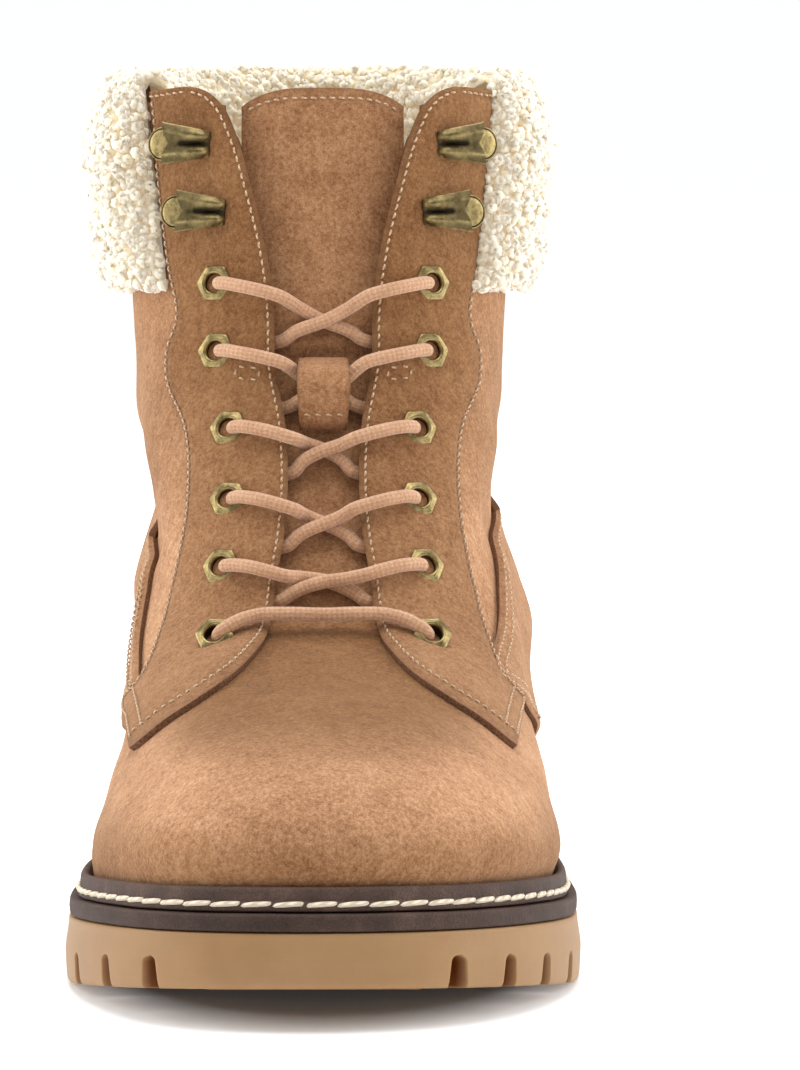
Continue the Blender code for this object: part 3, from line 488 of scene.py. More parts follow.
    def front_frame(self, x: float, z: float, ahead: float = 0.0) -> tuple:
        """A frame on the front of the boot.

        Args:
            x: Distance to the outer side, in millimetres.
            z: Height, in millimetres.
            ahead: How much the frame is turned from the surface towards the toe.

        Returns:
            Centre, normal, level direction and up direction.
        """
        point, normal = self.faced(x, z)
        normal = unit(normal + np.array((0.0, -ahead, 0.0)))
        side = unit(np.cross((0.0, 0.0, 1.0), normal))
        return point, normal, side, np.cross(normal, side)

    def level_of(self, height: Array, share: Array) -> Array:
        """Level at which the surface is at a height, solved in four steps.

        Args:
            height: Heights, in metres.
            share: Shares round the last.

        Returns:
            A level for each share.
        """
        top = self.sizes.shaft_top * MM
        low = np.full(np.shape(share), 0.04)
        for _ in range(4):
            level = (height - low) / (top - low)
            low = self.bottom.feather(self.at(np.clip(level, -0.01, 1.05), share)[..., 1])
        return (height - low) / (top - low)

    def footprint(self, count: int) -> tuple:
        """The feather line in plan.

        Args:
            count: Points along each side, evenly from the toe to the heel.

        Returns:
            The closed line, and its outward directions.
        """
        shares = np.linspace(0, 1, count)
        lateral, medial = self.girdle(0.0)
        fine = np.concatenate([lateral, medial[-2:0:-1]])
        ahead = np.roll(fine, -1, axis=0) - np.roll(fine, 1, axis=0)
        fine = np.column_stack([fine, unit(np.stack([ahead[:, 1], -ahead[:, 0]], axis=1))])
        turn = len(lateral)
        lateral, medial = fine[:turn], np.concatenate([fine[turn - 1:], fine[:1]])[::-1]
        loop = np.concatenate([on_line(lateral, shares), on_line(medial, shares)[-2:0:-1]])
        return loop[:, :2], unit(loop[:, 2:])


# ---------------------------------------------------------------- meshes

@dataclass
class Skin:
    """A surface: its points, faces, UV at the faces' corners, and marks that the finish reads."""

    points: Array
    faces: Array
    corners: Array | None = None
    marks: dict = field(default_factory=dict)


def joined(parts: list) -> Skin:
    """Joins surfaces.

    Args:
        parts: Surfaces with the same marks.

    Returns:
        All of them as one surface.
    """
    starts = np.cumsum([0] + [len(part.points) for part in parts[:-1]])
    return Skin(
        np.concatenate([part.points for part in parts]),
        np.concatenate([part.faces + start for part, start in zip(parts, starts)]),
        None if parts[0].corners is None else np.concatenate([part.corners for part in parts]),
        {key: np.concatenate([part.marks[key] for part in parts]) for key in parts[0].marks},
    )


def net(grid: Array, wrap: bool = False, uv: Array | None = None, **marks: Array) -> Skin:
    """A grid of points as quads that face the side the columns turn round to.

    Quad (i, j) has the corners (i, j), (i, j+1), (i+1, j+1), (i+1, j).

    Args:
        grid: Points as rows by columns by 3.
        wrap: Whether the last column meets the first.
        uv: Places on the surface, rows by columns by 2, one column more where it wraps.
        marks: Numbers for each point that the finish reads.

    Returns:
        The surface.
    """
    rows, columns = grid.shape[:2]
    i, j = np.meshgrid(np.arange(rows - 1), np.arange(columns if wrap else columns - 1), indexing="ij")
    k = (j + 1) % columns
    low, high = i * columns, (i + 1) * columns
    faces = np.stack([low + j, low + k, high + k, high + j], axis=-1)
    corners = None
    if uv is not None:
        corners = np.stack([uv[i, j], uv[i, j + 1], uv[i + 1, j + 1], uv[i + 1, j]], axis=-2)
        corners = corners.reshape(-1, 4, 2)
    flat = {key: np.broadcast_to(value, (rows, columns)).reshape(-1) for key, value in marks.items()}
    return Skin(grid.reshape(-1, 3), faces.reshape(-1, 4), corners, flat)


def make(name: str, skin: Skin, *finishes: "Finish", seams: bool = False) -> Piece:
    """Puts a surface into a mesh object at the origin, smooth all over.

    Args:
        name: The piece's name.
        skin: Its surface.
        finishes: Its finishes, in slot order.
        seams: Whether points that meet are merged.

    Returns:
        The object.
    """
    mesh = bpy.data.meshes.new(name)
    count, sides = skin.faces.shape
    mesh.vertices.add(len(skin.points))
    mesh.vertices.foreach_set("co", skin.points.astype(np.float32).ravel())
    mesh.loops.add(count * sides)
    mesh.loops.foreach_set("vertex_index", skin.faces.astype(np.int32).ravel())
    mesh.polygons.add(count)
    mesh.polygons.foreach_set("loop_start", (np.arange(count) * sides).astype(np.int32))
    mesh.polygons.foreach_set("use_smooth", np.ones(count, bool))
    if skin.corners is not None:
        layer = mesh.uv_layers.new(name="UVMap")
        layer.data.foreach_set("uv", skin.corners.astype(np.float32).ravel())
    for key, value in skin.marks.items():
        mesh.attributes.new(key, "FLOAT", "POINT").data.foreach_set("value", value.astype(np.float32))
    mesh.update(calc_edges=True)
    if seams:
        work = bmesh.new()
        work.from_mesh(mesh)
        bmesh.ops.remove_doubles(work, verts=work.verts, dist=2e-6)
        bmesh.ops.dissolve_degenerate(work, edges=work.edges, dist=1e-7)
        work.to_mesh(mesh)
        work.free()
    mesh.validate()
    for finish in finishes:
        mesh.materials.append(finish.material())
    piece = bpy.data.objects.new(name, mesh)
    bpy.context.scene.collection.objects.link(piece)
    return piece


def thicken(piece: Piece, thickness: float, lined: bool = False) -> None:
    """Gives a surface a wall on its inner side.

    Args:
        piece: The object.
        thickness: The wall's thickness, in millimetres.
        lined: Whether the back has the piece's second finish and the edge its third.
    """
    wall = piece.modifiers.new("wall", "SOLIDIFY")
    wall.thickness = thickness * MM
    wall.offset = -1
    wall.use_even_offset = False
    wall.material_offset = 1 if lined else 0
    wall.material_offset_rim = 2 if lined else 0


def ease(piece: Piece, width: float, angle: float = 50.0) -> None:
    """Rounds a piece's sharp edges.

    Args:
        piece: The piece.
        width: Width of the rounding, in millimetres.
        angle: Edges that turn by more than this many degrees count as sharp.
    """
    bevel = piece.modifiers.new("ease", "BEVEL")
    bevel.width = width * MM
    bevel.segments = 2
    bevel.limit_method = "ANGLE"
    bevel.angle_limit = math.radians(angle)


def seat(piece: Piece, slot: str, *nodes: str) -> None:
    """Makes a finished piece ride with the boot.

    Args:
        piece: The piece.
        slot: The record's material slot for it; not used.
        nodes: The solids that it stands for.
    """
    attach(piece, BODY)
    if nodes:
        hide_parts(*nodes)
    LOG.info("%s: %d faces", piece.name, len(piece.data.polygons))


def hide(name: str, node: str, skin: Skin, wall: float, rounding: float, *finishes: "Finish",
         seams: bool = False) -> None:
    """Makes a piece of suede, with its own back and cut edge, and seats it.

    Args:
        name: The piece's name.
        node: The solid it stands for.
        skin: Its outer face.
        wall: Its thickness, in millimetres.
        rounding: Width of its eased edges, in millimetres, or nought.
        finishes: Of its face and its back.
        seams: Whether points that meet are merged.
    """
    piece = make(name, skin, *finishes, CUT_EDGE, seams=seams)
    thicken(piece, wall, lined=True)
    if rounding:
        ease(piece, rounding)
    seat(piece, Slot.SUEDE.value, node)


def rings(side: Array, rise: Array, count: int) -> Array:
    """Directions evenly round each place: cos t side plus sin t rise, with t falling from nought."""
    turn = -np.arange(count) * 2 * math.pi / count
    return np.cos(turn)[:, None] * side[..., None, :] + np.sin(turn)[:, None] * rise[..., None, :]


def repeated(faces: Array, count: int, points: int) -> Array:
    """Faces of one shape, for a count of like shapes that each have so many points."""
    return (faces[None] + (np.arange(count) * points)[:, None, None]).reshape(-1, 4)


def tube_faces(around: int, along: int, cap: tuple) -> tuple:
    """Faces of a tube of rings, and of its two ends, each closed by the same quads."""
    start = np.array(cap)
    ends = np.concatenate([start, (start + (along - 1) * around)[:, ::-1]])
    return net(np.zeros((along, around, 3)), wrap=True).faces, ends


def rod(path: Array, radius: Array, sides: int, facing: tuple) -> Skin:
    """A round cord along a path, with closed ends and its turn and length as UV in millimetres.

    Each ring is the path's point plus radius times (cos t side + sin t rise); two rings close
    to a point at each end.

    Args:
        path: The middle of the cord.
        radius: Its radius at each point of the path.
        sides: Points round it.
        facing: A direction that the cord never runs along.

    Returns:
        The surface.
    """
    along = unit(np.gradient(path, axis=0))
    side = unit(np.cross(along, facing))
    ring = rings(side, np.cross(side, along), sides)
    body = path[:, None] + radius[:, None, None] * ring
    caps = [
        path[k] + along[k] * sign * radius[k] * reach + ring[k] * radius[k] * wide
        for k, sign in ((0, -1), (-1, 1)) for reach, wide in ((0.5, 0.8), (0.72, 1e-4))
    ]
    grid = np.concatenate([[caps[1], caps[0]], body, [caps[2], caps[3]]])
    length = run_length(path)
    v = np.concatenate([[-2 * radius[0], -radius[0]], length, [length[-1] + radius[-1]] * 2])
    uv = np.stack(np.meshgrid(np.arange(sides + 1) / sides, v / MM), axis=-1)
    return net(grid, wrap=True, uv=uv)


@dataclass(frozen=True)
class Thread:
    """A kind of stitch, in millimetres."""

    pitch: float = 1.95
    length: float = 1.45
    radius: float = 0.25
    lift: float = 0.20
    slant: float = 0.10
    along: int = 7
    around: int = 6

    def row(self, path: Array, normals: Array) -> Skin:
        """Stitches along a path, as one surface.

        Stitch k covers the path from k times pitch for its length. Across its length u its middle
        rises as sin(pi u) to the power 0.35, so both ends dive into the hide, and it slants a little.

        Args:
            path: Points on the hide's outer face.
            normals: The face's outward direction at each.

        Returns:
            The surface.
        """
        length = run_length(path)
        count = max(int(length[-1] / (self.pitch * MM)), 1)
        pitch = length[-1] / count
        u = np.linspace(0.0, 1.0, self.along)
        at = (np.arange(count)[:, None] + 0.5) * pitch + (u[None] - 0.5) * self.length * MM
        middle, normal = (
            np.stack([np.interp(at, length, column) for column in rows.T], axis=-1)
            for rows in (path, normals)
        )
        normal = unit(normal)
        side = unit(np.cross(unit(middle[:, -1:] - middle[:, :1]), normal))
        arch = np.maximum(np.sin(math.pi * u), 0.0) ** 0.35
        middle = middle + normal * ((arch * (self.lift + self.radius) - self.radius) * MM)[None, :, None]
        middle = middle + side * ((u - 0.5) * 2 * self.slant * MM)[None, :, None]
        wide = self.radius * MM * (0.45 + 0.55 * arch)
        grid = middle[:, :, None] + rings(side, normal, self.around) * wide[None, :, None, None]
        each = self.along * self.around
        body, ends = tube_faces(self.around, self.along, ((0, 5, 2, 1), (2, 5, 4, 3)))
        faces = np.concatenate([repeated(body, count, each), repeated(ends, count, each)])
        v = np.broadcast_to(at[:, :, None] / MM, grid.shape[:3])
        turn = np.broadcast_to(np.arange(self.around) / self.around, v.shape)
        uv = np.stack([turn, v], axis=-1).reshape(-1, 2)
        return Skin(grid.reshape(-1, 3), faces, uv[faces])


def sew(name: str, *rows: Skin) -> None:
    """Makes rows of stitches one piece of the upper."""
    seat(make(name, joined(rows), THREAD), Slot.SUEDE.value)


# ---------------------------------------------------------------- finishes

class Tree:
    """Adds nodes to one node tree and links them."""

    def __init__(self, tree: bpy.types.NodeTree) -> None:
        """Keeps the tree, empty."""
        self.tree = tree
        tree.nodes.clear()

    def put(self, socket: Socket, value: object) -> None:
        """Sets an input to a value, or links it with another node's output."""
        if isinstance(value, Socket):
            self.tree.links.new(value, socket)
        else:
            socket.default_value = value

    def add(self, kind: str, inputs: dict | None = None, **settings: object) -> bpy.types.Node:
        """A node with its settings, and its inputs set or linked.

        Args:
            kind: Blender's name for the node.
            inputs: Socket name or number, to a value or another node's output.
            settings: Properties of the node.

        Returns:
            The node.
        """
        node = self.tree.nodes.new(kind)
        for key, value in settings.items():
            setattr(node, key, value)
        for key, value in (inputs or {}).items():
            self.put(node.inputs[key], value)
        return node

    def math(self, operation: str, a: object, b: object = 0.0, c: object = 0.0) -> Socket:
        """The result of a Math node."""
        return self.add("ShaderNodeMath", {0: a, 1: b, 2: c}, operation=operation).outputs[0]

    def plus(self, a: object, b: object) -> Socket:
        """The sum of two values."""
        return self.math("ADD", a, b)

    def times(self, a: object, b: object) -> Socket:
        """The product of two values."""
        return self.math("MULTIPLY", a, b)

    def weighed(self, *terms: tuple) -> Socket:
        """The sum of values, each times its share, from pairs of (value, share)."""
        total, *rest = (self.times(value, share) for value, share in terms)
        for term in rest:
            total = self.plus(total, term)
        return total

    def swing(self, value: object, by: float) -> Socket:
        """A value's distance from one half, times a share."""
        return self.times(self.math("SUBTRACT", value, 0.5), by)

    def wave(self, value: object) -> Socket:
        """A sine that runs from 0 to 1."""
        return self.math("MULTIPLY_ADD", self.math("SINE", value), 0.5, 0.5)

    def noise(self, where: object, scale: float, detail: float, rough: float) -> Socket:
        """The value of a Noise texture whose scale is per metre."""
        inputs = {"Vector": where, "Scale": scale, "Detail": detail, "Roughness": rough}
        return self.add("ShaderNodeTexNoise", inputs).outputs["Fac"]

    def ramp(self, value: object, *stops: tuple) -> Socket:
        """A colour ramp.

        Args:
            value: Where the ramp is read.
            stops: Pairs of (place, colour).

        Returns:
            The colour there.
        """
        node = self.add("ShaderNodeValToRGB", {"Fac": value})
        ends = node.color_ramp.elements
        while len(ends) < len(stops):
            ends.new(0.5)
        for element, (place, colour) in zip(ends, stops):
            element.position = place
            element.color = (*colour, 1.0)
        return node.outputs[0]

    def mix(self, share: object, a: object, b: tuple, blend: str = "MIX") -> Socket:
        """A colour mixed with another one.

        Args:
            share: How far the mix goes from the first to the second.
            a: First colour.
            b: Second colour.
            blend: How the second is laid on the first.

        Returns:
            The mixed colour.
        """
        node = self.add("ShaderNodeMix", data_type="RGBA", blend_type=blend)
        colours = [socket for socket in node.inputs if socket.type == "RGBA"]
        for socket, value in zip((node.inputs[0], *colours), (share, a, b)):
            self.put(socket, value)
        return next(socket for socket in node.outputs if socket.type == "RGBA")

    def spot(self) -> Socket:
        """Object coordinates, in metres."""
        return self.add("ShaderNodeTexCoord").outputs["Object"]

    def turn_and_length(self) -> tuple:
        """A cord's own turn, from 0 to 1, and its length, in millimetres."""
        uv = self.add("ShaderNodeUVMap", uv_map="UVMap").outputs[0]
        return tuple(self.add("ShaderNodeSeparateXYZ", {0: uv}).outputs[:2])

    def mark(self, name: str) -> Socket:
        """A number that the mesh carries."""
        return self.add("ShaderNodeAttribute", attribute_name=name).outputs["Fac"]

    def relief(self, height: object, strength: float, distance: float) -> Socket:
        """A normal from a height; distance is in metres."""
        inputs = {"Height": height, "Strength": strength, "Distance": distance}
        return self.add("ShaderNodeBump", inputs).outputs[0]

    def shared(self, name: str, where: object, setting: str, value: float) -> bpy.types.bpy_prop_collection:
        """The outputs of a shared node group, placed with its own setting."""
        inputs = {"Vector": where, setting: value}
        return self.add("ShaderNodeGroup", inputs, node_tree=GROUPS[name]()).outputs


def group(name: str, setting: str, value: float, outputs: tuple) -> tuple:
    """A new node group that reads a Vector and one setting.

    Args:
        name: The group's name.
        setting: The setting's name.
        value: What it is by default.
        outputs: Names of the values it puts out.

    Returns:
        The tree builder, its input sockets and its output node.
    """
    tree = bpy.data.node_groups.new(name, "ShaderNodeTree")
    tree.interface.new_socket("Vector", in_out="INPUT", socket_type="NodeSocketVector")
    tree.interface.new_socket(setting, in_out="INPUT", socket_type="NodeSocketFloat").default_value = value
    for label in outputs:
        tree.interface.new_socket(label, in_out="OUTPUT", socket_type="NodeSocketFloat")
    build = Tree(tree)
    return build, build.add("NodeGroupInput").outputs, build.add("NodeGroupOutput")


def nap_group() -> bpy.types.NodeTree:
    """Brushed nap: patches, mottling, a fine short pile, and brush strokes that run down the hide.

    Shade is 0.5 give or take patches (25 mm), mottles (4 mm), clumps (1 mm) and strokes;
    Height is the clumps, the pile and the mottles.
    """
    found = bpy.data.node_groups.get("brushed_nap")
    if found:
        return found
    t, put, out = group("brushed_nap", "Mottle", 1.0, ("Shade", "Height"))
    where = put["Vector"]
    patches = t.noise(where, 42.0, 3.0, 0.55)
    mottles = t.noise(where, 260.0, 3.0, 0.6)
    clumps = t.noise(where, 1150.0, 3.0, 0.65)
    pile = t.noise(where, 3400.0, 2.0, 0.6)
    strokes = t.add("ShaderNodeMapping", {"Vector": where, "Scale": (620.0, 620.0, 130.0)}).outputs[0]
    strokes = t.noise(strokes, 1.0, 2.0, 0.6)
    large = t.plus(t.swing(patches, 0.60), t.plus(t.swing(mottles, 0.55), t.swing(strokes, 0.40)))
    small = t.plus(t.swing(clumps, 1.40), t.swing(pile, 1.15))
    t.put(out.inputs["Shade"], t.math("MULTIPLY_ADD", t.plus(large, small), put["Mottle"], 0.5))
    t.put(out.inputs["Height"], t.weighed((clumps, 0.9), (pile, 0.5), (mottles, 0.8)))
    return t.tree


def grain_group() -> bpy.types.NodeTree:
    """Fine leather or moulded grain: cells with creases between them, and slow shading.

    Crease is 0 along the edges of the cells and 1 within them; Shade is a slow noise.
    """
    found = bpy.data.node_groups.get("fine_grain")
    if found:
        return found
    t, put, out = group("fine_grain", "Scale", 900.0, ("Crease", "Shade"))
    inputs = {"Vector": put["Vector"], "Scale": put["Scale"]}
    cells = t.add("ShaderNodeTexVoronoi", inputs, feature="DISTANCE_TO_EDGE").outputs["Distance"]
    t.put(out.inputs["Crease"], t.math("MINIMUM", t.times(cells, 5.0), 1.0))
    t.put(out.inputs["Shade"], t.noise(put["Vector"], 120.0, 4.0, 0.6))
    return t.tree


GROUPS = {"nap": nap_group, "grain": grain_group}


class Finish:
    """A material, built once, with its own nodes; shown names the field with its plain colour."""

    name: str = ""
    shown: str = ""

    def material(self) -> bpy.types.Material:
        """The Blender material, made the first time it is asked for."""
        found = bpy.data.materials.get(self.name)
        if found:
            return found
        made = bpy.data.materials.new(self.name)
        made.use_nodes = True
        tree = Tree(made.node_tree)
        shader = tree.add("ShaderNodeBsdfPrincipled", self.looks(tree))
        tree.add("ShaderNodeOutputMaterial", {"Surface": shader.outputs[0]})
        made.diffuse_color = (*getattr(self, self.shown), 1.0)
        return made

    def looks(self, t: Tree) -> dict:
        """Adds the finish's nodes.

        Args:
            t: The material's tree.

        Returns:
            What each input of the shader is set to or linked with.
        """
        raise NotImplementedError


@dataclass(frozen=True)
class Suede(Finish):
    """Brushed suede: mottled nap with a soft sheen, with painted shade where the mesh marks it, darker at cut
    edges, and painted shade along the seams.
    """

    shown = "middle"
    name: str = "suede_hide"
    low: tuple = (0.26, 0.118, 0.054)
    middle: tuple = (0.475, 0.248, 0.130)
    high: tuple = (0.71, 0.43, 0.25)
    mottle: float = 0.80
    edge: tuple = (0.14, 0.066, 0.032, 1.0)
    # colour that the painted shade multiplies the suede by
    laid: tuple = (0.41, 0.34, 0.215, 1.0)

    def looks(self, t: Tree) -> dict:
        """Nap from the shared group, darkened by the mesh's painted-shade mark and by its edge mark: the cut
        edges' own tone, and painted shade along the seams.
        """
        nap = t.shared("nap", t.spot(), "Mottle", self.mottle)
        colour = t.ramp(nap["Shade"], (0.12, self.low), (0.5, self.middle), (0.92, self.high))
        # painted shade: darker on the instep, low on the toe, on the facings and quarter, and up the shaft
        colour = t.mix(t.mark("laid"), colour, t.mix(1.0, colour, self.laid, "MULTIPLY"))
        return {
            # edge mark: the cut edges' own darker tone, and painted shade along the seams
            "Base Color": t.mix(t.times(t.mark("edge"), 0.85), colour, self.edge),
            "Roughness": 0.95, "Specular IOR Level": 0.12,
            "Sheen Weight": 0.18, "Sheen Roughness": 0.45, "Sheen Tint": (1.0, 0.80, 0.62, 1.0),
            "Normal": t.relief(nap["Height"], 0.55, 0.00042),
        }


@dataclass(frozen=True)
class CutEdge(Finish):
    """The raw edge of cut suede: darker, close and fibrous."""

    shown = "dark"
    name: str = "suede_cut_edge"
    dark: tuple = (0.085, 0.040, 0.022)
    light: tuple = (0.26, 0.130, 0.070)

    def looks(self, t: Tree) -> dict:
        """Fibres from a fine noise."""
        fibre = t.noise(t.spot(), 1900.0, 3.0, 0.65)
        return {
            "Base Color": t.ramp(fibre, (0.3, self.dark), (0.72, self.light)),
            "Roughness": 0.95, "Specular IOR Level": 0.1, "Normal": t.relief(fibre, 0.6, 0.0004),
        }


@dataclass(frozen=True)
class Fleece(Finish):
    """Cream fleece: lighter on the lumps and curls and warmer between them, as painted highlight and painted
    shade, with random tone and a faint painted glow.
    """

    shown = "middle"
    name: str = "fleece_pile"
    # deep is painted shade between the lumps, tip painted highlight on their tops
    deep: tuple = (0.74, 0.59, 0.37)
    middle: tuple = (0.82, 0.69, 0.48)
    tip: tuple = (0.90, 0.79, 0.59)

    def looks(self, t: Tree) -> dict:
        """Colour by the mesh's pile mark, with a fine fibrous bump and a faint painted glow in the fleece's
        own colour.
        """
        fibre = t.noise(t.spot(), 2300.0, 3.0, 0.7)
        slow = t.noise(t.spot(), 90.0, 2.0, 0.5)
        value = t.plus(t.plus(t.mark("pile"), t.swing(fibre, 0.5)), t.swing(slow, 0.5))
        colour = t.ramp(value, (0.0, self.deep), (0.42, self.middle), (0.85, self.tip))
        return {
            # painted glow: the fleece gives off a little light in its own colour
            "Base Color": colour, "Emission Color": colour, "Emission Strength": 0.15,
            "Roughness": 1.0, "Specular IOR Level": 0.1, "Sheen Weight": 0.35, "Sheen Roughness": 0.6,
            "Subsurface Weight": 0.80, "Subsurface Radius": (1.0, 0.88, 0.70), "Subsurface Scale": 0.0042,
            "Normal": t.relief(fibre, 0.45, 0.0005),
        }


@dataclass(frozen=True)
class GumRubber(Finish):
    """Moulded gum rubber: satin, a little cloudy, with a fine moulded grain, scuffs and a painted glow low
    down, and painted shade in the grooves.
    """

    shown = "clear"
    name: str = "gum_sole_rubber"
    clear: tuple = (0.300, 0.160, 0.066)
    cloudy: tuple = (0.375, 0.226, 0.104)
    # browner near the floor: scuffs, and a painted glow through the thin rubber
    low_scuff_and_glow: tuple = (0.31, 0.150, 0.052, 1.0)
    # colour of the painted shade in the grooves
    painted_groove_shade: tuple = (0.15, 0.030, 0.0, 1.0)

    def looks(self, t: Tree) -> dict:
        """Cloudiness, a faint grain, browner scuffs and a painted glow within 4 mm of the floor, and painted
        shade, dark orange, in the grooves.
        """
        spot = t.spot()
        cloud, fine = t.noise(spot, 38.0, 4.0, 0.6), t.noise(spot, 1600.0, 3.0, 0.6)
        height = t.add("ShaderNodeSeparateXYZ", {0: spot}).outputs[2]
        low = {"Value": height, "From Min": 0.004, "From Max": 0.0, "To Min": 0.0, "To Max": 0.5}
        # within 4 mm of the floor: scuffs, and a painted glow through the thin rubber
        scuff_and_glow_share = t.times(t.add("ShaderNodeMapRange", low).outputs[0], t.noise(spot, 420.0, 4.0, 0.7))
        colour = t.mix(scuff_and_glow_share, t.ramp(cloud, (0.3, self.clear), (0.72, self.cloudy)), self.low_scuff_and_glow)
        return {
            # painted shade, dark orange, in the grooves
            "Base Color": t.mix(t.mark("hollow"), colour, self.painted_groove_shade),
            "Roughness": t.math("MULTIPLY_ADD", cloud, 0.2, 0.42), "Specular IOR Level": 0.30,
            "Subsurface Weight": 0.22, "Subsurface Radius": (1.0, 0.55, 0.22), "Subsurface Scale": 0.004,
            "Normal": t.relief(t.plus(fine, t.times(cloud, 2.0)), 0.18, 0.0003),
        }


@dataclass(frozen=True)
class DarkLeather(Finish):
    """Waxed dark welt leather: fine grain, lighter on the worn edges, as wear and as painted highlight."""

    shown = "brown"
    name: str = "dark_welt_leather"
    dark: tuple = (0.018, 0.009, 0.006)
    brown: tuple = (0.074, 0.041, 0.030)
    worn: tuple = (0.175, 0.110, 0.082)

    def looks(self, t: Tree) -> dict:
        """Grain from the shared group, and fine fibres from a noise."""
        spot = t.spot()
        grain = t.shared("grain", spot, "Scale", 1250.0)
        fibre = t.noise(spot, 2600.0, 3.0, 0.7)
        value = t.weighed((grain["Shade"], 0.7), (fibre, 0.55))
        colour = t.ramp(value, (0.36, self.dark), (0.66, self.brown), (0.95, self.worn))
        return {
            # lighter on the marked edges: wear, and painted highlight where the edges catch the light
            "Base Color": t.mix(t.times(t.mark("edge"), fibre), colour, (*self.worn, 1.0)),
            "Roughness": t.math("MULTIPLY_ADD", fibre, 0.25, 0.52), "Specular IOR Level": 0.28,
            "Normal": t.relief(t.plus(t.times(grain["Crease"], 0.5), fibre), 0.7, 0.00026),
        }


@dataclass(frozen=True)
class Lining(Finish):
    """Plain lining leather and the sock board: pale, smooth and slightly grained."""

    shown = "colour"
    name: str = "lining_leather"
    colour: tuple = (0.50, 0.33, 0.20)

    def looks(self, t: Tree) -> dict:
        """Grain and slow shading."""
        grain = t.shared("grain", t.spot(), "Scale", 700.0)
        dark, light = (tuple(by * c for c in self.colour) for by in (0.72, 1.2))
        return {
            "Base Color": t.ramp(grain["Shade"], (0.3, dark), (0.7, light)),
            "Roughness": 0.8, "Normal": t.relief(grain["Crease"], 0.25, 0.0002),
        }


@dataclass(frozen=True)
class Brass(Finish):
    """Antique brass: bright where rubbed, brown-green patina in the hollows, where the hollow mark also
    paints shade, with fine brushing.
    """

    shown = "dull"
    name: str = "antique_brass_metal"
    bright: tuple = (0.37, 0.285, 0.125)
    dull: tuple = (0.135, 0.098, 0.040)
    hollow: tuple = (0.028, 0.021, 0.013, 1.0)

    def looks(self, t: Tree) -> dict:
        """Patina from noise and from the mesh's hollow mark, which also carries painted shade in the hooks'
        slots and folds and inside the eyelets.
        """
        spot, hollow = t.spot(), t.mark("hollow")
        patina, fine = t.noise(spot, 620.0, 4.0, 0.65), t.noise(spot, 3600.0, 2.0, 0.6)
        colour = t.ramp(t.plus(patina, t.swing(fine, 0.4)), (0.30, self.dull), (0.62, self.bright))
        return {
            "Base Color": t.mix(hollow, colour, self.hollow), "Metallic": 1.0,
            "Roughness": t.plus(t.math("MULTIPLY_ADD", patina, 0.28, 0.22), t.times(hollow, 0.3)),
            "Normal": t.relief(t.plus(patina, fine), 0.12, 0.00025),
        }


@dataclass(frozen=True)
class Cord(Finish):
    """Round woven lace: two sets of strands that cross on the slant, under a fine fuzz."""

    shown = "middle"
    name: str = "woven_lace_cord"
    deep: tuple = (0.25, 0.115, 0.055)
    middle: tuple = (0.52, 0.285, 0.160)
    high: tuple = (0.78, 0.50, 0.32)

    def looks(self, t: Tree) -> dict:
        """Weave on the lace's own length and turn: sin of one slant times sin of the other."""
        turn, along = t.turn_and_length()
        slants = [t.math("MULTIPLY_ADD", turn, 2 * math.pi * 5, t.times(along, way)) for way in (3.0, -3.0)]
        weave = t.math("MULTIPLY_ADD", t.times(*(t.math("SINE", slant) for slant in slants)), 0.5, 0.5)
        fuzz, slow = t.noise(t.spot(), 3000.0, 3.0, 0.7), t.noise(t.spot(), 200.0, 2.0, 0.5)
        value = t.weighed((weave, 0.14), (fuzz, 0.70), (slow, 0.20))
        return {
            "Base Color": t.ramp(value, (0.24, self.deep), (0.5, self.middle), (0.80, self.high)),
            "Roughness": 0.85, "Specular IOR Level": 0.25, "Sheen Weight": 0.3,
            "Normal": t.relief(t.plus(weave, t.times(fuzz, 1.2)), 0.5, 0.00016),
        }


@dataclass(frozen=True)
class Yarn(Finish):
    """Sewing thread: two plies twisted together, slightly waxed."""

    shown = "high"
    name: str = "sewing_thread"
    low: tuple = (0.38, 0.225, 0.120)
    high: tuple = (0.74, 0.54, 0.36)
    twist: float = 5.5

    def looks(self, t: Tree) -> dict:
        """A slanting band along the thread's own length and turn."""
        turn, along = t.turn_and_length()
        band = t.wave(t.math("MULTIPLY_ADD", turn, 4 * math.pi, t.times(along, self.twist)))
        fuzz = t.noise(t.spot(), 4200.0, 2.0, 0.6)
        return {
            "Base Color": t.ramp(t.weighed((band, 0.55), (fuzz, 0.55)), (0.2, self.low), (0.8, self.high)),
            "Roughness": 0.7, "Specular IOR Level": 0.3, "Normal": t.relief(t.plus(band, fuzz), 0.6, 0.00014),
        }


@dataclass(frozen=True)
class Paper(Finish):
    """Matt paper with a painted glow: hardly any under the boot, which paints its shadow there, and more the
    further from it.
    """

    shown = "white"
    name: str = "studio_paper"
    white: tuple = (0.93, 0.93, 0.93)
    # place in half-lengths of the sole's outline, and the glow there
    glow: tuple = ((0.80, 0.02), (0.93, 0.18), (1.10, 0.28), (1.50, 0.22), (4.5, 0.58))

    def looks(self, t: Tree) -> dict:
        """A painted glow by the distance from the boot, which is in half-lengths of the sole's outline; where
        it is low by the sole it is a painted shadow.
        """
        inputs = {0: t.spot(), 1: (17.0, 7.35, 0.0)}
        place = t.add("ShaderNodeVectorMath", inputs, operation="MULTIPLY").outputs[0]
        away = t.add("ShaderNodeVectorMath", {0: place}, operation="LENGTH").outputs["Value"]
        stops = ((0.2 * at, (0.94 * share, share, 1.05 * share)) for at, share in self.glow)
        return {
            "Base Color": (*self.white, 1.0), "Roughness": 0.9, "Specular IOR Level": 0.1,
            "Emission Color": t.ramp(t.times(away, 0.2), *stops), "Emission Strength": 1.0,
        }


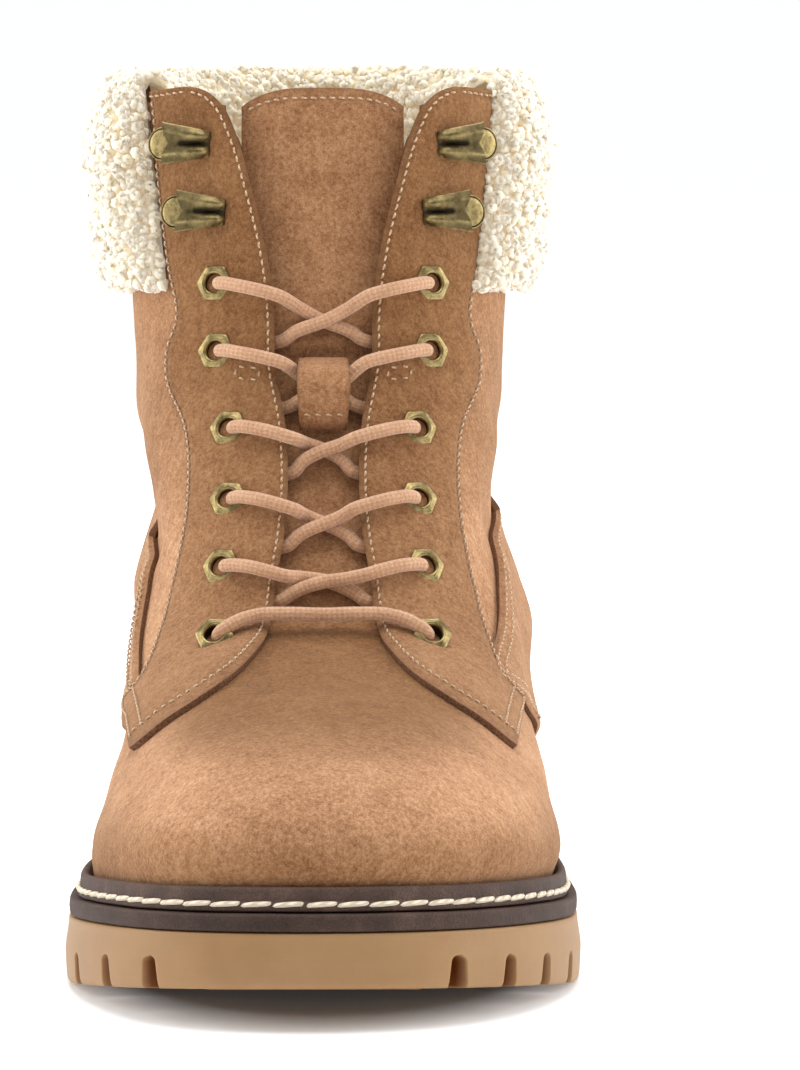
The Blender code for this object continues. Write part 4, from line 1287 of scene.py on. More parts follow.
class Slot(Enum):
    """The record's material slots."""

    SUEDE = "suede"
    FLEECE = "fleece"
    GUM = "gum_rubber"
    WELT = "welt_leather"
    BOARD = "insole_board"
    BRASS = "antique_brass"
    LACE = "lace_cord"


SUEDE = Suede()
# a darker copy of the suede: painted shade on the tongue and its keeper, down between the facings
SHADED_TONGUE_SUEDE = Suede("tongue_suede_shaded", (0.185, 0.080, 0.034), (0.345, 0.168, 0.078), (0.51, 0.285, 0.15), 0.84)
CUT_EDGE = CutEdge()
FLEECE = Fleece()
GUM = GumRubber()
WELT_LEATHER = DarkLeather()
MIDSOLE_LEATHER = DarkLeather(
    "midsole_leather", (0.013, 0.006, 0.004), (0.052, 0.027, 0.019), (0.135, 0.080, 0.060)
)
LINING = Lining()
SOCK_BOARD = Lining("sock_board", (0.42, 0.30, 0.20))
BRASS = Brass()
LACE = Cord()
THREAD = Yarn()
WELT_THREAD = Yarn("welt_thread", (0.62, 0.50, 0.36), (0.90, 0.80, 0.64), 2.2)


# ---------------------------------------------------------------- the upper and what lies on it

def mirrored(side: int, *grids: Array) -> tuple:
    """Grids as they are for the lateral side, and with their columns turned round for the medial."""
    return tuple(grid if side > 0 else grid[:, ::-1] for grid in grids)


def side_word(side: int) -> str:
    """Which side 1 and -1 stand for."""
    return "lateral" if side > 0 else "medial"


@dataclass
class Upper:
    """The suede shell from the welt to the top edge, open down the throat."""

    last: Last
    wall: float = 2.0
    foot: float = -0.0060
    front_dip: float = 0.028
    # the facings' top outer corner: distance from the middle, and height
    facing_corner: tuple = (38.5, 177.0)
    # half-width of the throat by height, in millimetres
    throat: tuple = (
        (70.2, 0.0), (70.4, 3.0), (70.8, 5.4), (71.4, 7.4), (72.4, 9.2), (74.0, 10.2), (77.4, 10.7),
        (87, 9.1), (94, 8.5), (108.5, 8.9), (121.5, 11.1), (131, 11.2), (147.4, 13.3), (157.3, 15.7),
        (170, 18.9), (176, 21.6), (190, 22.0),
    )

    def throat_share(self, levels: Array, side: int) -> Array:
        """Share of the half girdle where the throat's edge lies.

        It is where the net's own x less the throat's half-width crosses nought.

        Args:
            levels: Levels where it is wanted.
            side: 1 lateral, -1 medial.

        Returns:
            The share at each level.
        """
        last = self.last
        half = len(last.shares) // 2
        reach = slice(half, half + 120)
        points = last.points[:, ::side][:, reach]
        gap = np.interp(points[..., 2], table(self.throat, 0) * MM, table(self.throat, 1) * MM)
        found = np.array([np.interp(0.0, row, last.shares[reach]) for row in points[..., 0] * side - gap])
        found = np.where(points[:, 0, 2] < self.throat[0][0] * MM, 0.0, found)
        return np.interp(levels, last.levels, found)

    def laid(self, grid: Array) -> Array:
        """Painted shade: most on the instep, some along the welt and up the shaft."""
        x, y, z = (grid[..., k] / MM for k in range(3))
        instep = smoothstep((z - 44) / 14) * smoothstep((95 - z) / 20) * smoothstep((40 - np.abs(x)) / 12)
        front = np.maximum(0.95 * instep, 0.62 * smoothstep((43 - z) / 13)) * smoothstep((-20 - y) / 20)
        return np.maximum(front, np.maximum(0.45 * smoothstep((z - 80) / 20), 0.10))

    def build(self) -> None:
        """The shell's outer face on levels by shares, walled inwards, with its lining."""
        last = self.last
        opening = float(last.level_of(np.array(self.throat[0][0] * MM), np.array(0.0)))
        levels = np.unique(np.concatenate([
            np.linspace(self.foot, 1.0, 132), opening + np.linspace(-0.004, 0.03, 14),
        ]))
        t = np.linspace(0, 1, 112) ** 1.15
        skins = []
        for side in (1, -1):
            start = self.throat_share(levels, side)
            share, = mirrored(side, side * (start[:, None] + (1 - start[:, None]) * t[None]))
            # under the facings the top edge lies lower, so that they cover it
            x, z = self.facing_corner
            under = abs(float(last.seen(side * x * MM, z * MM)[1]))
            dip = self.front_dip * smoothstep((under - np.abs(share)) / 0.015 + 1)
            grid = last.at(levels[:, None] - dip * smoothstep((levels[:, None] - 0.9) / 0.1), share)
            skins.append(net(grid, laid=self.laid(grid)))
        hide("suede_upper", "upper", joined(skins), self.wall, 0.0, SUEDE, LINING, seams=True)


@dataclass
class Facing:
    """One eyelet facing with its strap end, sewn along both edges."""

    last: Last
    side: int
    thick: float = 1.6
    gap: float = 0.45
    inset: float = 1.15
    # painted shade over the facing, more towards its top
    laid: float = 0.64
    skive: float = 0.75
    thread_sunk: float = 0.17
    # rows of (height, half-width seen from the front)
    inner: tuple = (
        (179.6, 27.6), (178.9, 24.4), (176.2, 21.2), (170, 18.2), (157.3, 14.5), (147.4, 12.1), (131, 10.0),
        (121.5, 9.9), (108.5, 7.7), (94, 7.3), (87, 7.9), (77.4, 9.5), (72.2, 10.1), (67.1, 11.3),
    )
    lower: tuple = ((67.1, 11.3), (63.0, 15.5), (57.1, 24.3), (52.1, 32.0), (46.8, 38.3))
    outer: tuple = (
        (178.3, 36.3), (176.6, 36.0), (159.7, 34.6), (141, 32.3), (130, 30.6), (123, 32.6), (116.7, 32.4),
        (108, 28.9), (93.2, 28.0), (74.8, 31.0), (66.5, 33.4), (58.9, 36.6), (53.6, 41.0),
    )
    # where the strap leaves the outer edge, and the box tack's corners
    corner: tuple = (31.6, 72.0)
    tack: tuple = ((12.9, 117.6), (17.6, 117.9), (17.6, 120.3), (12.9, 120.0), (12.9, 117.6))

    def edges(self) -> tuple:
        """The two long edges seen from the front, top first, with matching points, in millimetres.

        Each edge is a smooth curve through its table; the upper parts match by their own length,
        and so do the parts below the corner where the strap leaves.
        """
        inner, lower, outer = (open_curve([row[::-1] for row in rows], 0.2)
                               for rows in (self.inner, self.lower, self.outer))
        turn = int(np.argmin(np.linalg.norm(outer - self.corner, axis=1)))
        upper, strap = np.linspace(0, 1, 176), np.linspace(0, 1, 66)
        near = np.concatenate([on_line(inner, upper), on_line(lower, strap)[1:]])
        far = np.concatenate([on_line(outer[: turn + 1], upper), on_line(outer[turn:], strap)[1:]])
        return softened(near, 10), far

    def seams(self) -> list:
        """Stitch lines seen from the front: along both edges, and two across the strap's end."""
        near, far = self.edges()
        top = np.linspace(0.06, 0.94, 40)[:, None]
        top = near[0] * (1 - top) + far[0] * top - np.array((0.0, self.inset))
        end, tip = near[-1], far[-1]
        back = unit(near[-8] - end) * 0.5 + unit(far[-8] - tip) * 0.5
        across = [
            np.linspace(end + back * by + (tip - end) * 0.10, tip + back * by - (tip - end) * 0.10, 30)
            for by in (1.2, 4.3)
        ]
        inner, outer = offset_path(near, self.inset), offset_path(far, -self.inset * 0.7)
        return [inner[1: -4], outer[3: -4], top, *across]

    def stitches(self, seam: Array) -> Skin:
        """A row of stitches along a line seen from the front, on the facing's outer face."""
        path = open_curve(seam, 0.5)
        point, normal = self.last.faced(self.side * path[:, 0], path[:, 1])
        return Thread().row(point + normal * ((self.gap + self.thick - self.thread_sunk) * MM), normal)

    def build(self) -> None:
        """The strip, its stitches and its box tack.

        The strip's rows run from the inner to the outer edge; its face sinks along the seams as a bell.
        """
        near, far = self.edges()
        t = np.linspace(0, 1, 46)[None, :, None]
        plan = near[:, None] * (1 - t) + far[:, None] * t
        seams = self.seams()
        sunk = 0.20 * bell(np.min([distance_to(plan, seam) for seam in seams], axis=0), 0.55)
        border = np.minimum(*(np.linalg.norm(plan - side[:, None], axis=2) for side in (near, far)))
        border = np.minimum(border, (len(plan) - 1 - np.arange(len(plan)))[:, None] * 0.7)
        # darker by the cut edges, and painted shade along the sunk seams
        edge = np.clip(1 - border / 0.9, 0, 1) * 0.60 + 0.25 * sunk / 0.20
        skived = self.skive * (1 - smoothstep(border / 1.3))
        plan, sunk, edge, skived = mirrored(self.side, plan, sunk, edge, skived)
        grid = self.last.front(self.side * plan[..., 0], plan[..., 1], self.gap + self.thick - sunk - skived)
        # painted shade rises towards the facing's top; rows run down the boot, so they are turned to face
        # outwards
        laid = self.laid + 0.22 * smoothstep((plan[::-1, :, 1] - 70) / 70)
        skin = net(grid[::-1], edge=np.clip(edge[::-1], 0, 1), laid=laid)
        name = f"facing_{side_word(self.side)}"
        hide(f"suede_{name}", name, skin, self.thick, 0.35, SUEDE, SUEDE)
        corners = np.array(self.tack)
        box = [np.linspace(a, b, 12) for a, b in zip(corners[:-1], corners[1:])]
        sew(f"{name}_stitches", *(self.stitches(seam) for seam in seams + box))


@dataclass
class Quarter:
    """Suede panel round the heel, from one strap end to the other, sewn twice along its edge."""

    last: Last
    thick: float = 1.4
    gap: float = 0.6
    foot: float = 0.0195
    insets: tuple = (1.3, 3.5)
    # outlines seen from the side: front edges as (height, y), top edges as (y, height)
    front: tuple = (
        (26.0, 12), (36.0, 6), (44.0, -1), (50.0, -12), (54.0, -26), (57.5, -34), (61.0, -31),
        (66.0, -17), (70.0, -8), (76.0, 2), (84.0, 14), (89.0, 27),
    )
    front_medial: tuple = (
        (26.0, 12), (36.0, 5), (44.0, -3), (50.0, -14), (54.0, -26), (56.5, -29), (60.0, -21),
        (64.5, -10), (70.0, -1), (75.0, 5.5), (79.5, 13), (83.5, 25),
    )
    top: tuple = ((27, 89.0), (42, 89.8), (62, 91.0), (85, 94.5), (106, 98.5), (124, 99.0), (135, 99.0))
    top_medial: tuple = (
        (25, 83.5), (42, 84.5), (62, 86.5), (85, 91.5), (106, 97.2), (124, 99.0), (135, 99.0),
    )

    def bounds(self, side: int) -> tuple:
        """Where the last's net crosses the panel's outline seen from the side.

        Args:
            side: 1 lateral, -1 medial.

        Returns:
            Front share by level, top level by share, and the shares.
        """
        last = self.last
        half = len(last.shares) // 2
        points, shares = last.points[:, ::side][:, half:], last.shares[half:]
        y, z = points[..., 1] / MM, points[..., 2] / MM
        front, top = (self.front, self.top) if side > 0 else (self.front_medial, self.top_medial)
        ahead = y - through(z, table(front, 0), table(front, 1))
        above = z - through(y, table(top, 0), table(top, 1))
        front_share = np.array([np.interp(0.0, row, shares) for row in ahead])
        top_level = np.array([np.interp(0.0, column, last.levels) for column in above.T])
        return front_share, top_level, shares

    def plan(self, side: int, down: Array, along: Array) -> tuple:
        """Level and signed share of places on the panel.

        Args:
            side: 1 lateral, -1 medial.
            down: From 0 at the foot to 1 at the top edge.
            along: From 0 at the front edge to 1 at the heel.

        Returns:
            Levels and shares.
        """
        front_share, top_level, shares = self.bounds(side)
        level = self.foot + down * (0.36 - self.foot)
        for _ in range(40):
            start = np.interp(level, self.last.levels, front_share)
            share = start + (1 - start) * along
            level = level / 2 + (self.foot + down * (np.interp(share, shares, top_level) - self.foot)) / 2
        return level, side * share

    def build(self) -> None:
        """Both halves of the panel as one surface, walled inwards, and its double stitching."""
        down, along = np.meshgrid(np.linspace(0, 1, 74), np.linspace(0, 1, 104) ** 1.12, indexing="ij")
        skins = []
        for side in (1, -1):
            level, share = self.plan(side, down, along)
            base = self.last.at(level, share)
            low = np.linalg.norm(base - base[:, :1], axis=2)
            border = np.minimum(low, np.linalg.norm(base - base[-1:], axis=2)) / MM
            sunk = 0.16 * sum(bell(border - inset, 0.5) for inset in self.insets)
            # darker by the cut edge, and painted shade along the two sunk seams
            edge = np.clip(1 - border / 0.9, 0, 1) * 0.75 + 0.3 * sunk / 0.16
            skived = 0.95 * (1 - smoothstep(low / (2.2 * MM)))
            grid = self.last.at(level, share, (self.gap + self.thick - sunk - skived) * MM)
            grid, edge = mirrored(side, grid, edge)
            # painted shade, even over the whole panel
            skins.append(net(grid, edge=np.clip(edge, 0, 1), laid=np.full(edge.shape, 0.35)))
        hide("suede_quarter", "quarter_overlay", joined(skins), self.thick, 0.3, SUEDE, SUEDE, seams=True)
        sew("quarter_stitches", *(self.stitch(side, inset) for side in (1, -1) for inset in self.insets))

    def stitch(self, side: int, inset: float) -> Skin:
        """One row of stitches that follows the front edge up and the top edge back.

        Args:
            side: 1 lateral, -1 medial.
            inset: Distance inside the edge, in millimetres.

        Returns:
            The stitches.
        """
        down = np.concatenate([np.linspace(0.30, 1, 150), np.ones(200)])
        along = np.concatenate([np.zeros(150), np.linspace(0, 1, 200)])
        level, share = self.plan(side, down, along)
        line = self.last.at(level, share)
        keep = np.concatenate([[True], np.linalg.norm(np.diff(line, axis=0), axis=1) > 1e-6])
        line, normal = self.last.blend(level[keep], share[keep])
        inward = -np.cross(normal, unit(np.gradient(line, axis=0))) * side
        path = line + inward * inset * MM + normal * (self.gap + self.thick - 0.15) * MM
        path = softened(path[int(inset * 1.2):], 6)
        return Thread().row(path, normal[-len(path):])


@dataclass
class Tongue:
    """The tongue with its stitched top, the lace keeper on it, and the roll above the keeper."""

    last: Last
    wall: float = 2.0
    gap: float = 0.3
    thick: float = 2.4
    low: float = 58.0
    high: float = 179.9
    half: tuple = ((58, 12), (70, 14), (90, 16), (140, 19), (176, 19), (182, 18.2))
    drop: tuple = ((55, 0.0), (72, 0.0), (90, 1.2), (182, 1.2))
    roll_at: float = 127.4
    crease_at: float = 124.9
    seam_at: float = 106.4
    keeper_low: float = 109.0
    keeper_high: float = 123.6
    keeper_half: float = 5.2
    keeper_room: float = 7.0
    keeper_thick: float = 1.4
    keeper_seam: float = 110.6

    def depth(self, z: Array) -> Array:
        """Depth of the outer face below the upper's, in millimetres, by height."""
        return -(self.wall + self.gap) - read(self.drop, z)

    def top(self, t: Array) -> Array:
        """Height of the top edge across the tongue, lower towards its corners at -1 and 1."""
        return self.high - 4.0 * np.abs(t) ** 4

    def build(self) -> None:
        """The tongue as rows by columns, its top edge curved down at the corners."""
        v, t = np.meshgrid(np.linspace(0, 1, 170), np.linspace(-1, 1, 52), indexing="ij")
        top = self.top(t)
        z = self.low + v * (top - self.low)
        x = t * read(self.half, z)
        roll = 0.9 * bell(z - self.roll_at, 1.5) * bell(x, 9.0)
        roll = roll - 0.5 * bell(z - self.crease_at, 0.9) * bell(x, 9.0)
        seam = 0.35 * bell(z - (self.seam_at + 0.010 * x**2), 0.5) * (np.abs(x) < 8.5)
        stitched = 0.22 * bell(top - z - 1.9, 0.6)
        # darker by the cut top edge, and painted shade in the sunk stitch line and the seam under the keeper
        edge = np.clip(1 - (top - z) / 0.9, 0, 1) * 0.6 + stitched + seam
        grid = self.last.front(x, z, self.depth(z) + roll - seam - stitched)
        skin = net(grid, edge=np.clip(edge, 0, 1))
        hide("suede_tongue", "tongue", skin, self.thick, 0.4, SHADED_TONGUE_SUEDE, LINING)
        t = np.linspace(-0.93, 0.93, 90)
        z = self.top(t) - 1.9
        self.stitch("tongue_stitches", t * read(self.half, z), z, self.depth(z) - 0.18)
        self.keeper()

    def stitch(self, name: str, x: Array, z: Array, lift: Array) -> None:
        """A row of stitches, at a distance outside the upper's face in millimetres."""
        point, normal = self.last.faced(x, z)
        sew(name, Thread().row(point + normal * (lift * MM)[:, None], normal))

    def keeper(self) -> None:
        """The suede loop that the lace runs under: flat ends, and a bridge that swells as a power."""
        low, high, half, seam = self.keeper_low, self.keeper_high, self.keeper_half, self.keeper_seam
        t, s = np.meshgrid(np.linspace(0, 1, 46), np.linspace(-1, 1, 18), indexing="ij")
        z = low + t * (high - low)
        rise = self.keeper_room * np.minimum(1.0, 2.6 * np.minimum(t, 1 - t)) ** 0.7
        border = np.minimum(1 - np.abs(s), 1.0) * half
        sunk = 0.15 * bell(border - 1.0, 0.45) * (t > 0.04) * (t < 0.96) * 0.5 + 0.2 * bell(z - seam, 0.5)
        edge = np.clip(1 - border / 0.8, 0, 1) * 0.7 + np.clip(1 - (z - low) / 0.9, 0, 1) * 0.7
        offset = self.depth(z) + 0.6 + rise + self.keeper_thick - sunk - 0.35 * s**4
        grid = self.last.front(s * half * (1 - 0.05 * np.sin(math.pi * t)), z, offset)
        skin = net(grid, edge=np.clip(edge, 0, 1))
        hide("suede_lace_keeper", "lace_keeper", skin, self.keeper_thick, 0.3, SHADED_TONGUE_SUEDE, SUEDE)
        z = np.full(24, seam)
        lift = self.depth(z) + 0.6 + self.keeper_room * (2.6 * (seam - low) / (high - low)) ** 0.7
        self.stitch("keeper_stitches", np.linspace(-4.4, 4.4, 24), z, lift + self.keeper_thick - 0.1)


# ---------------------------------------------------------------- the bottom

@dataclass
class Bottoming:
    """Welt and its stitches, midsole, rubber sole and sock board, all set off from the feather line."""

    last: Last
    welt_low: float = -3.4
    welt_top: float = -1.4
    welt_lip: float = 1.3
    overhang: float = 3.3
    lip_overhang: float = 2.9
    lip_lean: float = 1.2
    mid_low: float = -7.1
    mid_high: float = -3.7
    mid_overhang: float = 5.0
    gum_top: float = -7.4
    gum_overhang: float = 6.2
    insole_top: float = 0.8
    wall: float = 2.0
    under_foot: float = -14.0
    groove_wide: float = 5.0
    groove_narrow: float = 3.6
    groove_high: float = 6.3
    groove_deep: float = 8.0
    groove_round: float = 1.2
    grooves_lateral: tuple = (-125.1, -113.1, -98.0, -80.3, -55.0, -30.5, -6.5, 70.0, 90.0, 110.0)
    grooves_medial: tuple = (-122.8, -106.4, -86.0, -58.5, -34.5, -11.0, 70.0, 90.0, 110.0)
    wall_columns: int = 1150
    heel_from: float = 40.0
    lug_rows: tuple = (-105, -85, -65, -45, -25, 78, 98)
    tread_raise: float = 3.5

    def closed_ring(self, name: str, node: str, profile: tuple, finish: Finish, sway: float) -> None:
        """A closed profile carried round the feather line, with its worn corners marked; the mark is wear and
        painted highlight.

        Args:
            name: The piece's name.
            node: The solid it stands for.
            profile: Corners as (overhang, height above the feather line, how worn, with painted highlight),
                in millimetres.
            finish: Its finish.
            sway: Height of slow unevenness, in millimetres.
        """
        rows = np.array(profile + profile[:1], float)
        loop, out = self.last.footprint(420)
        place = run_length(loop)
        uneven = sway * (np.sin(place * 130) + 0.6 * np.sin(place * 317 + 1.7)) * MM
        plan = loop[None] + out[None] * (rows[:, :1, None] * MM + (uneven * 0.6)[None, :, None])
        height = self.last.bottom.feather(loop[:, 1])[None] + rows[:, 1:2] * MM + uneven[None] * 0.35
        grid = np.concatenate([plan, height[..., None]], axis=2)
        piece = make(name, net(grid, wrap=True, edge=rows[:, 2:]), finish, seams=True)
        seat(piece, Slot.WELT.value, node)

    def build(self) -> None:
        """All the layers."""
        self.welt()
        self.midsole()
        self.sock()
        self.rubber()
        self.welt_stitches()

    def welt(self) -> None:
        """The flange and the lip that stands round the upper, rounded along its top."""
        w, low, top, lip = self.overhang, self.welt_low, self.welt_top, self.welt_lip
        out, lean = self.lip_overhang, self.lip_lean
        profile = (
            (-self.wall, low, 0.0), (w - 0.3, low, 0.0), (w, low + 0.3, 0.5), (w, top - 0.55, 0.35),
            (w - 0.1, top - 0.2, 0.5), (w - 0.35, top - 0.05, 0.3), (out, top + 0.12, 0.0),
            (out - 0.02, top + 0.5, 0.0), (out - 0.1, lip - 1.0, 0.1), (out - 0.22, lip - 0.5, 0.3),
            (out - 0.55, lip - 0.12, 0.7), (out - 1.0, lip + 0.02, 0.45), (lean + 0.2, lip - 0.08, 0.2),
            (lean - 0.1, lip - 0.35, 0.0), (0.5, top, 0.0), (-self.wall, top, 0.0),
        )
        self.closed_ring("leather_welt", "welt", profile, WELT_LEATHER, 0.10)

    def midsole(self) -> None:
        """The dark leather layer under the welt, rounded at its edge, that runs in under the foot."""
        w, low, top = self.mid_overhang, self.mid_low, self.mid_high
        profile = (
            (self.under_foot, low, 0.0), (w - 0.5, low, 0.1), (w - 0.12, low + 0.14, 0.3),
            (w, low + 0.5, 0.15), (w + 0.08, (low + top) / 2, 0.1), (w, top - 0.5, 0.25),
            (w - 0.12, top - 0.16, 0.7), (w - 0.5, top, 0.5), (self.under_foot, top, 0.0),
        )
        self.closed_ring("leather_midsole", "midsole", profile, MIDSOLE_LEATHER, 0.12)

    def sock(self) -> None:
        """The sock board inside the boot, softly dished, as strips across the foot."""
        count = 160
        loop, out = self.last.footprint(count)
        edge = loop - out * (self.wall + 0.7) * MM
        lateral, medial = edge[:count], np.concatenate([edge[:1], edge[: count - 2: -1]])
        share = (1 - np.cos(np.linspace(0.02, math.pi - 0.02, 120))) / 2
        y = lateral[0, 1] + (lateral[-1, 1] - lateral[0, 1]) * share
        left, right = (np.interp(y, line[:, 1], line[:, 0])[:, None] for line in (medial, lateral))
        t = np.linspace(0, 1, 24)
        low = self.last.bottom.feather(y)[:, None] + (self.insole_top - 0.5 * (4 * t * (1 - t))) * MM
        grid = np.stack([left * (1 - t) + right * t, np.broadcast_to(y[:, None], low.shape), low], axis=-1)
        piece = make("sock_board", net(grid), SOCK_BOARD)
        thicken(piece, 3.5)
        seat(piece, Slot.BOARD.value, "insole")

    def edges_at(self, inset: float, narrowing: float, shares: Array) -> tuple:
        """Medial and lateral line inside the rubber's edge, at shares of the sole's length.

        Args:
            inset: Distance inside the edge, in millimetres.
            narrowing: How much more that is at the heel.
            shares: From 0 at the toe to 1 at the heel.

        Returns:
            The two lines in plan.
        """
        loop, out = self.last.footprint(361)
        reach = self.gum_overhang - inset - narrowing * self.heel(loop[:, 1])
        loop = loop + out * (reach * MM)[:, None]
        tip, end = np.argmin(loop[:, 1]), np.argmax(loop[:, 1])
        turned = np.roll(loop, -tip, axis=0)
        end = (end - tip) % len(loop)
        lateral, medial = turned[: end + 1], np.concatenate([turned[end:], turned[:1]])[::-1]
        y = lateral[0, 1] + shares * (lateral[-1, 1] - lateral[0, 1])
        return tuple(np.column_stack([np.interp(y, line[:, 1], line[:, 0]), y]) for line in (medial, lateral))

    def heel(self, y: Array) -> Array:
        """From 0 at the forefoot to 1 at the heel."""
        return smoothstep((y / MM - self.heel_from) / 30)

    def rubber(self) -> None:
        """The gum sole: its wall as heights by places round the boot, grooved between the lugs.

        The wall's columns are drawn together with each groove as it narrows, so that its sides stay
        clean; inside it the wall steps in by the groove's depth. The tread under the foot is strips
        across it, raised off the floor between the lugs, that lie over the wall's turned-in edge.
        """
        bottom = self.last.bottom
        loop, out = (np.concatenate([part, part[:1]]) for part in self.last.footprint(700))
        edge = loop + out * self.gum_overhang * MM
        run = run_length(edge)

        def at(values: Array, places: Array) -> Array:
            """A line's values at places along the edge."""
            return np.stack([np.interp(places % run[-1], run, column) for column in values.T], axis=-1)

        place, gap = self.groove_columns(edge, out, run)
        up = np.array([0.0, 0.02, 0.05, *np.linspace(0.08, 0.90, 42), 0.93, 0.96, 0.985, 1.0])[:, None]
        deep = bottom.feather(at(loop, place)[:, 1]) + self.gum_top * MM - bottom.tread(at(edge, place)[:, 1])
        above = up * deep / MM
        places = place + (self.drawn(gap, self.groove_half(above)) - gap) * MM
        inward = smoothstep((self.groove_wide / 2 + 0.1 - np.abs(gap)) / 0.35) * (above < self.groove_high)
        foot, lean, y = at(loop, places), at(out, places), at(edge, places)[..., 1]
        floor, top = bottom.tread(y), bottom.feather(foot[..., 1]) + self.gum_top * MM
        height = floor + (top - floor) * up
        draft = -(0.6 + 2.4 * self.heel(y)) * (1 - up)
        corner = -1.05 * smoothstep((up - 0.45) / 0.55) - 0.3 * bell(up - 1.0, 0.02)
        corner = corner - 0.55 * np.exp(-(height - floor) / (0.5 * MM))
        reach = (self.gum_overhang + draft + corner - inward * self.groove_deep) * MM
        wall = np.concatenate([foot + lean * reach[..., None], height[..., None]], axis=2)
        # the wall turns in over the top, and under the tread in four steps
        foot, lean = at(loop, place), at(out, place)
        lid = np.column_stack([foot + lean * (self.under_foot * MM), top[-1]])[None]
        under = []
        for inset, lift in ((6.5, 0.0), (13.0, 0.0), (15.0, 3.2), (18.0, self.tread_raise)):
            inset = np.maximum(inset, inward[0] * (self.groove_deep + 0.6))
            base = foot + lean * ((self.gum_overhang + draft[0] - inset) * MM)[:, None]
            under.append(np.column_stack([base, bottom.tread(base[:, 1]) + lift * MM]))
        flat = np.zeros((len(under), len(place)))
        # hollow marks the grooves, where the rubber's finish paints shade
        hollow = np.concatenate([flat, np.minimum(3 * inward, 1), flat[:1]])
        side_wall = net(np.concatenate([np.array(under)[::-1], wall, lid]), wrap=True, hollow=hollow)
        seat(make("gum_outsole", joined([side_wall, self.tread_middle()]), GUM), Slot.GUM.value, "outsole")
        self.bars()

    def groove_columns(self, edge: Array, out: Array, run: Array) -> tuple:
        """Where the wall's columns stand: sparse between the grooves and close at their sides.

        Args:
            edge: The sole's outline, closed.
            out: Its outward direction at each point.
            run: Distance along it at each point, in metres.

        Returns:
            Distance along the outline, and to the nearest groove's middle in millimetres, by column.
        """
        middles = []
        for stations, sign in ((self.grooves_lateral, 1), (self.grooves_medial, -1)):
            for station in stations:
                near = np.where(out[:, 0] * sign > 0, np.abs(edge[:, 1] - station * MM), 1.0)
                middles.append(run[int(np.argmin(near))])

        def gap(places: Array) -> Array:
            """Signed distance to the nearest groove's middle, in millimetres."""
            apart = (places[:, None] - np.array(middles) + run[-1] / 2) % run[-1] - run[-1] / 2
            return np.take_along_axis(apart, np.abs(apart).argmin(axis=1)[:, None], axis=1)[:, 0] / MM

        fine = np.linspace(0, run[-1], 12001)
        crowd = 1.0 + 7.0 * bell(np.abs(gap(fine)) - self.groove_wide / 2, 0.45)
        total = np.concatenate([[0.0], np.cumsum((crowd[1:] + crowd[:-1]) / 2)])
        place = np.interp(np.linspace(0, total[-1], self.wall_columns, endpoint=False), total, fine)
        return place, gap(place)

    def groove_half(self, above: Array) -> Array:
        """A groove's half-width, narrower upwards, with rounded top corners.

        Args:
            above: Heights over the tread, in millimetres.

        Returns:
            Half-widths in millimetres; above the groove they go back to its foot's.
        """
        high, turn = self.groove_high, self.groove_round
        half = (self.groove_wide + (self.groove_narrow - self.groove_wide) * np.clip(above / high, 0, 1)) / 2
        beyond = np.clip(above - (high - turn), 0, turn)
        half = half - turn + np.sqrt(turn**2 - beyond**2)
        return half + (self.groove_wide / 2 - half) * smoothstep((above - high) / 3.5)

    def drawn(self, gap: Array, half: Array) -> Array:
        """Distances from a groove's middle, drawn in so that its side falls on its half-width.

        Args:
            gap: Signed distances of the columns, in millimetres.
            half: The groove's half-width at each row and column.

        Returns:
            The drawn distances.
        """
        full, fade = self.groove_wide / 2, 2.0
        near = np.abs(gap)
        outside = half + (near - full) * (fade + full - half) / fade
        beyond = np.where(near < full + fade, outside, near)
        return np.sign(gap) * np.where(near <= full, near * half / full, beyond)

    def tread_middle(self) -> Skin:
        """The raised middle of the tread, as strips across the foot that face down."""
        left, right = self.edges_at(18.2, 2.4, (1 - np.cos(np.linspace(0.0, math.pi, 150))) / 2)
        t = np.linspace(0, 1, 16)[None, :, None]
        plan = left[:, None] * (1 - t) + right[:, None] * t
        height = self.last.bottom.tread(plan[..., 1]) + self.tread_raise * MM
        grid = np.concatenate([plan, height[..., None]], axis=2)
        return net(grid[:, ::-1], hollow=np.zeros(grid.shape[:2]))

    def bars(self) -> None:
        """The lugs across the middle of the forefoot and the heel: blocks that widen upwards."""
        edges = self.edges_at(19.0, 0.0, np.linspace(0, 1, 200))
        skins = []
        for y in self.lug_rows:
            left, right = (np.interp(y * MM, line[:, 1], line[:, 0]) / MM for line in edges)
            floor = float(self.last.bottom.tread(np.array(y * MM))) / MM
            rows = []
            for z, deep, trim in ((0.0, 10.0, 0.6), (0.25, 10.7, 0.2), (0.7, 11.0, 0.0), (4.2, 12.0, -0.4)):
                x = np.array([left + trim, right - trim, right - trim, left + trim])
                ends = y + np.array([-1, -1, 1, 1]) * deep / 2
                rows.append(np.column_stack([x, ends, np.full(4, floor + z)]))
            block = net(np.array(rows) * MM, wrap=True, hollow=np.zeros((4, 4)))
            block.faces = np.concatenate([block.faces, [[3, 2, 1, 0], [12, 13, 14, 15]]])
            skins.append(block)
        piece = make("gum_tread_bars", joined(skins), GUM)
        ease(piece, 0.4)
        seat(piece, Slot.GUM.value)

    def welt_stitches(self) -> None:
        """Thick cream stitches that lie along the foot of the lip, all round the boot."""
        loop, out = (np.concatenate([part, part[:1]]) for part in self.last.footprint(420))
        low = self.last.bottom.feather(loop[:, 1])
        path = np.column_stack([loop + out * 3.35 * MM, low + (self.welt_top - 0.40) * MM])
        normals = unit(np.column_stack([out * 0.85, np.full(len(out), 0.5)]))
        thread = Thread(pitch=6.3, length=7.3, radius=0.58, lift=-0.15, slant=-0.24)
        seat(make("welt_stitches", thread.row(path, normals), WELT_THREAD), Slot.WELT.value)


# ---------------------------------------------------------------- light and camera

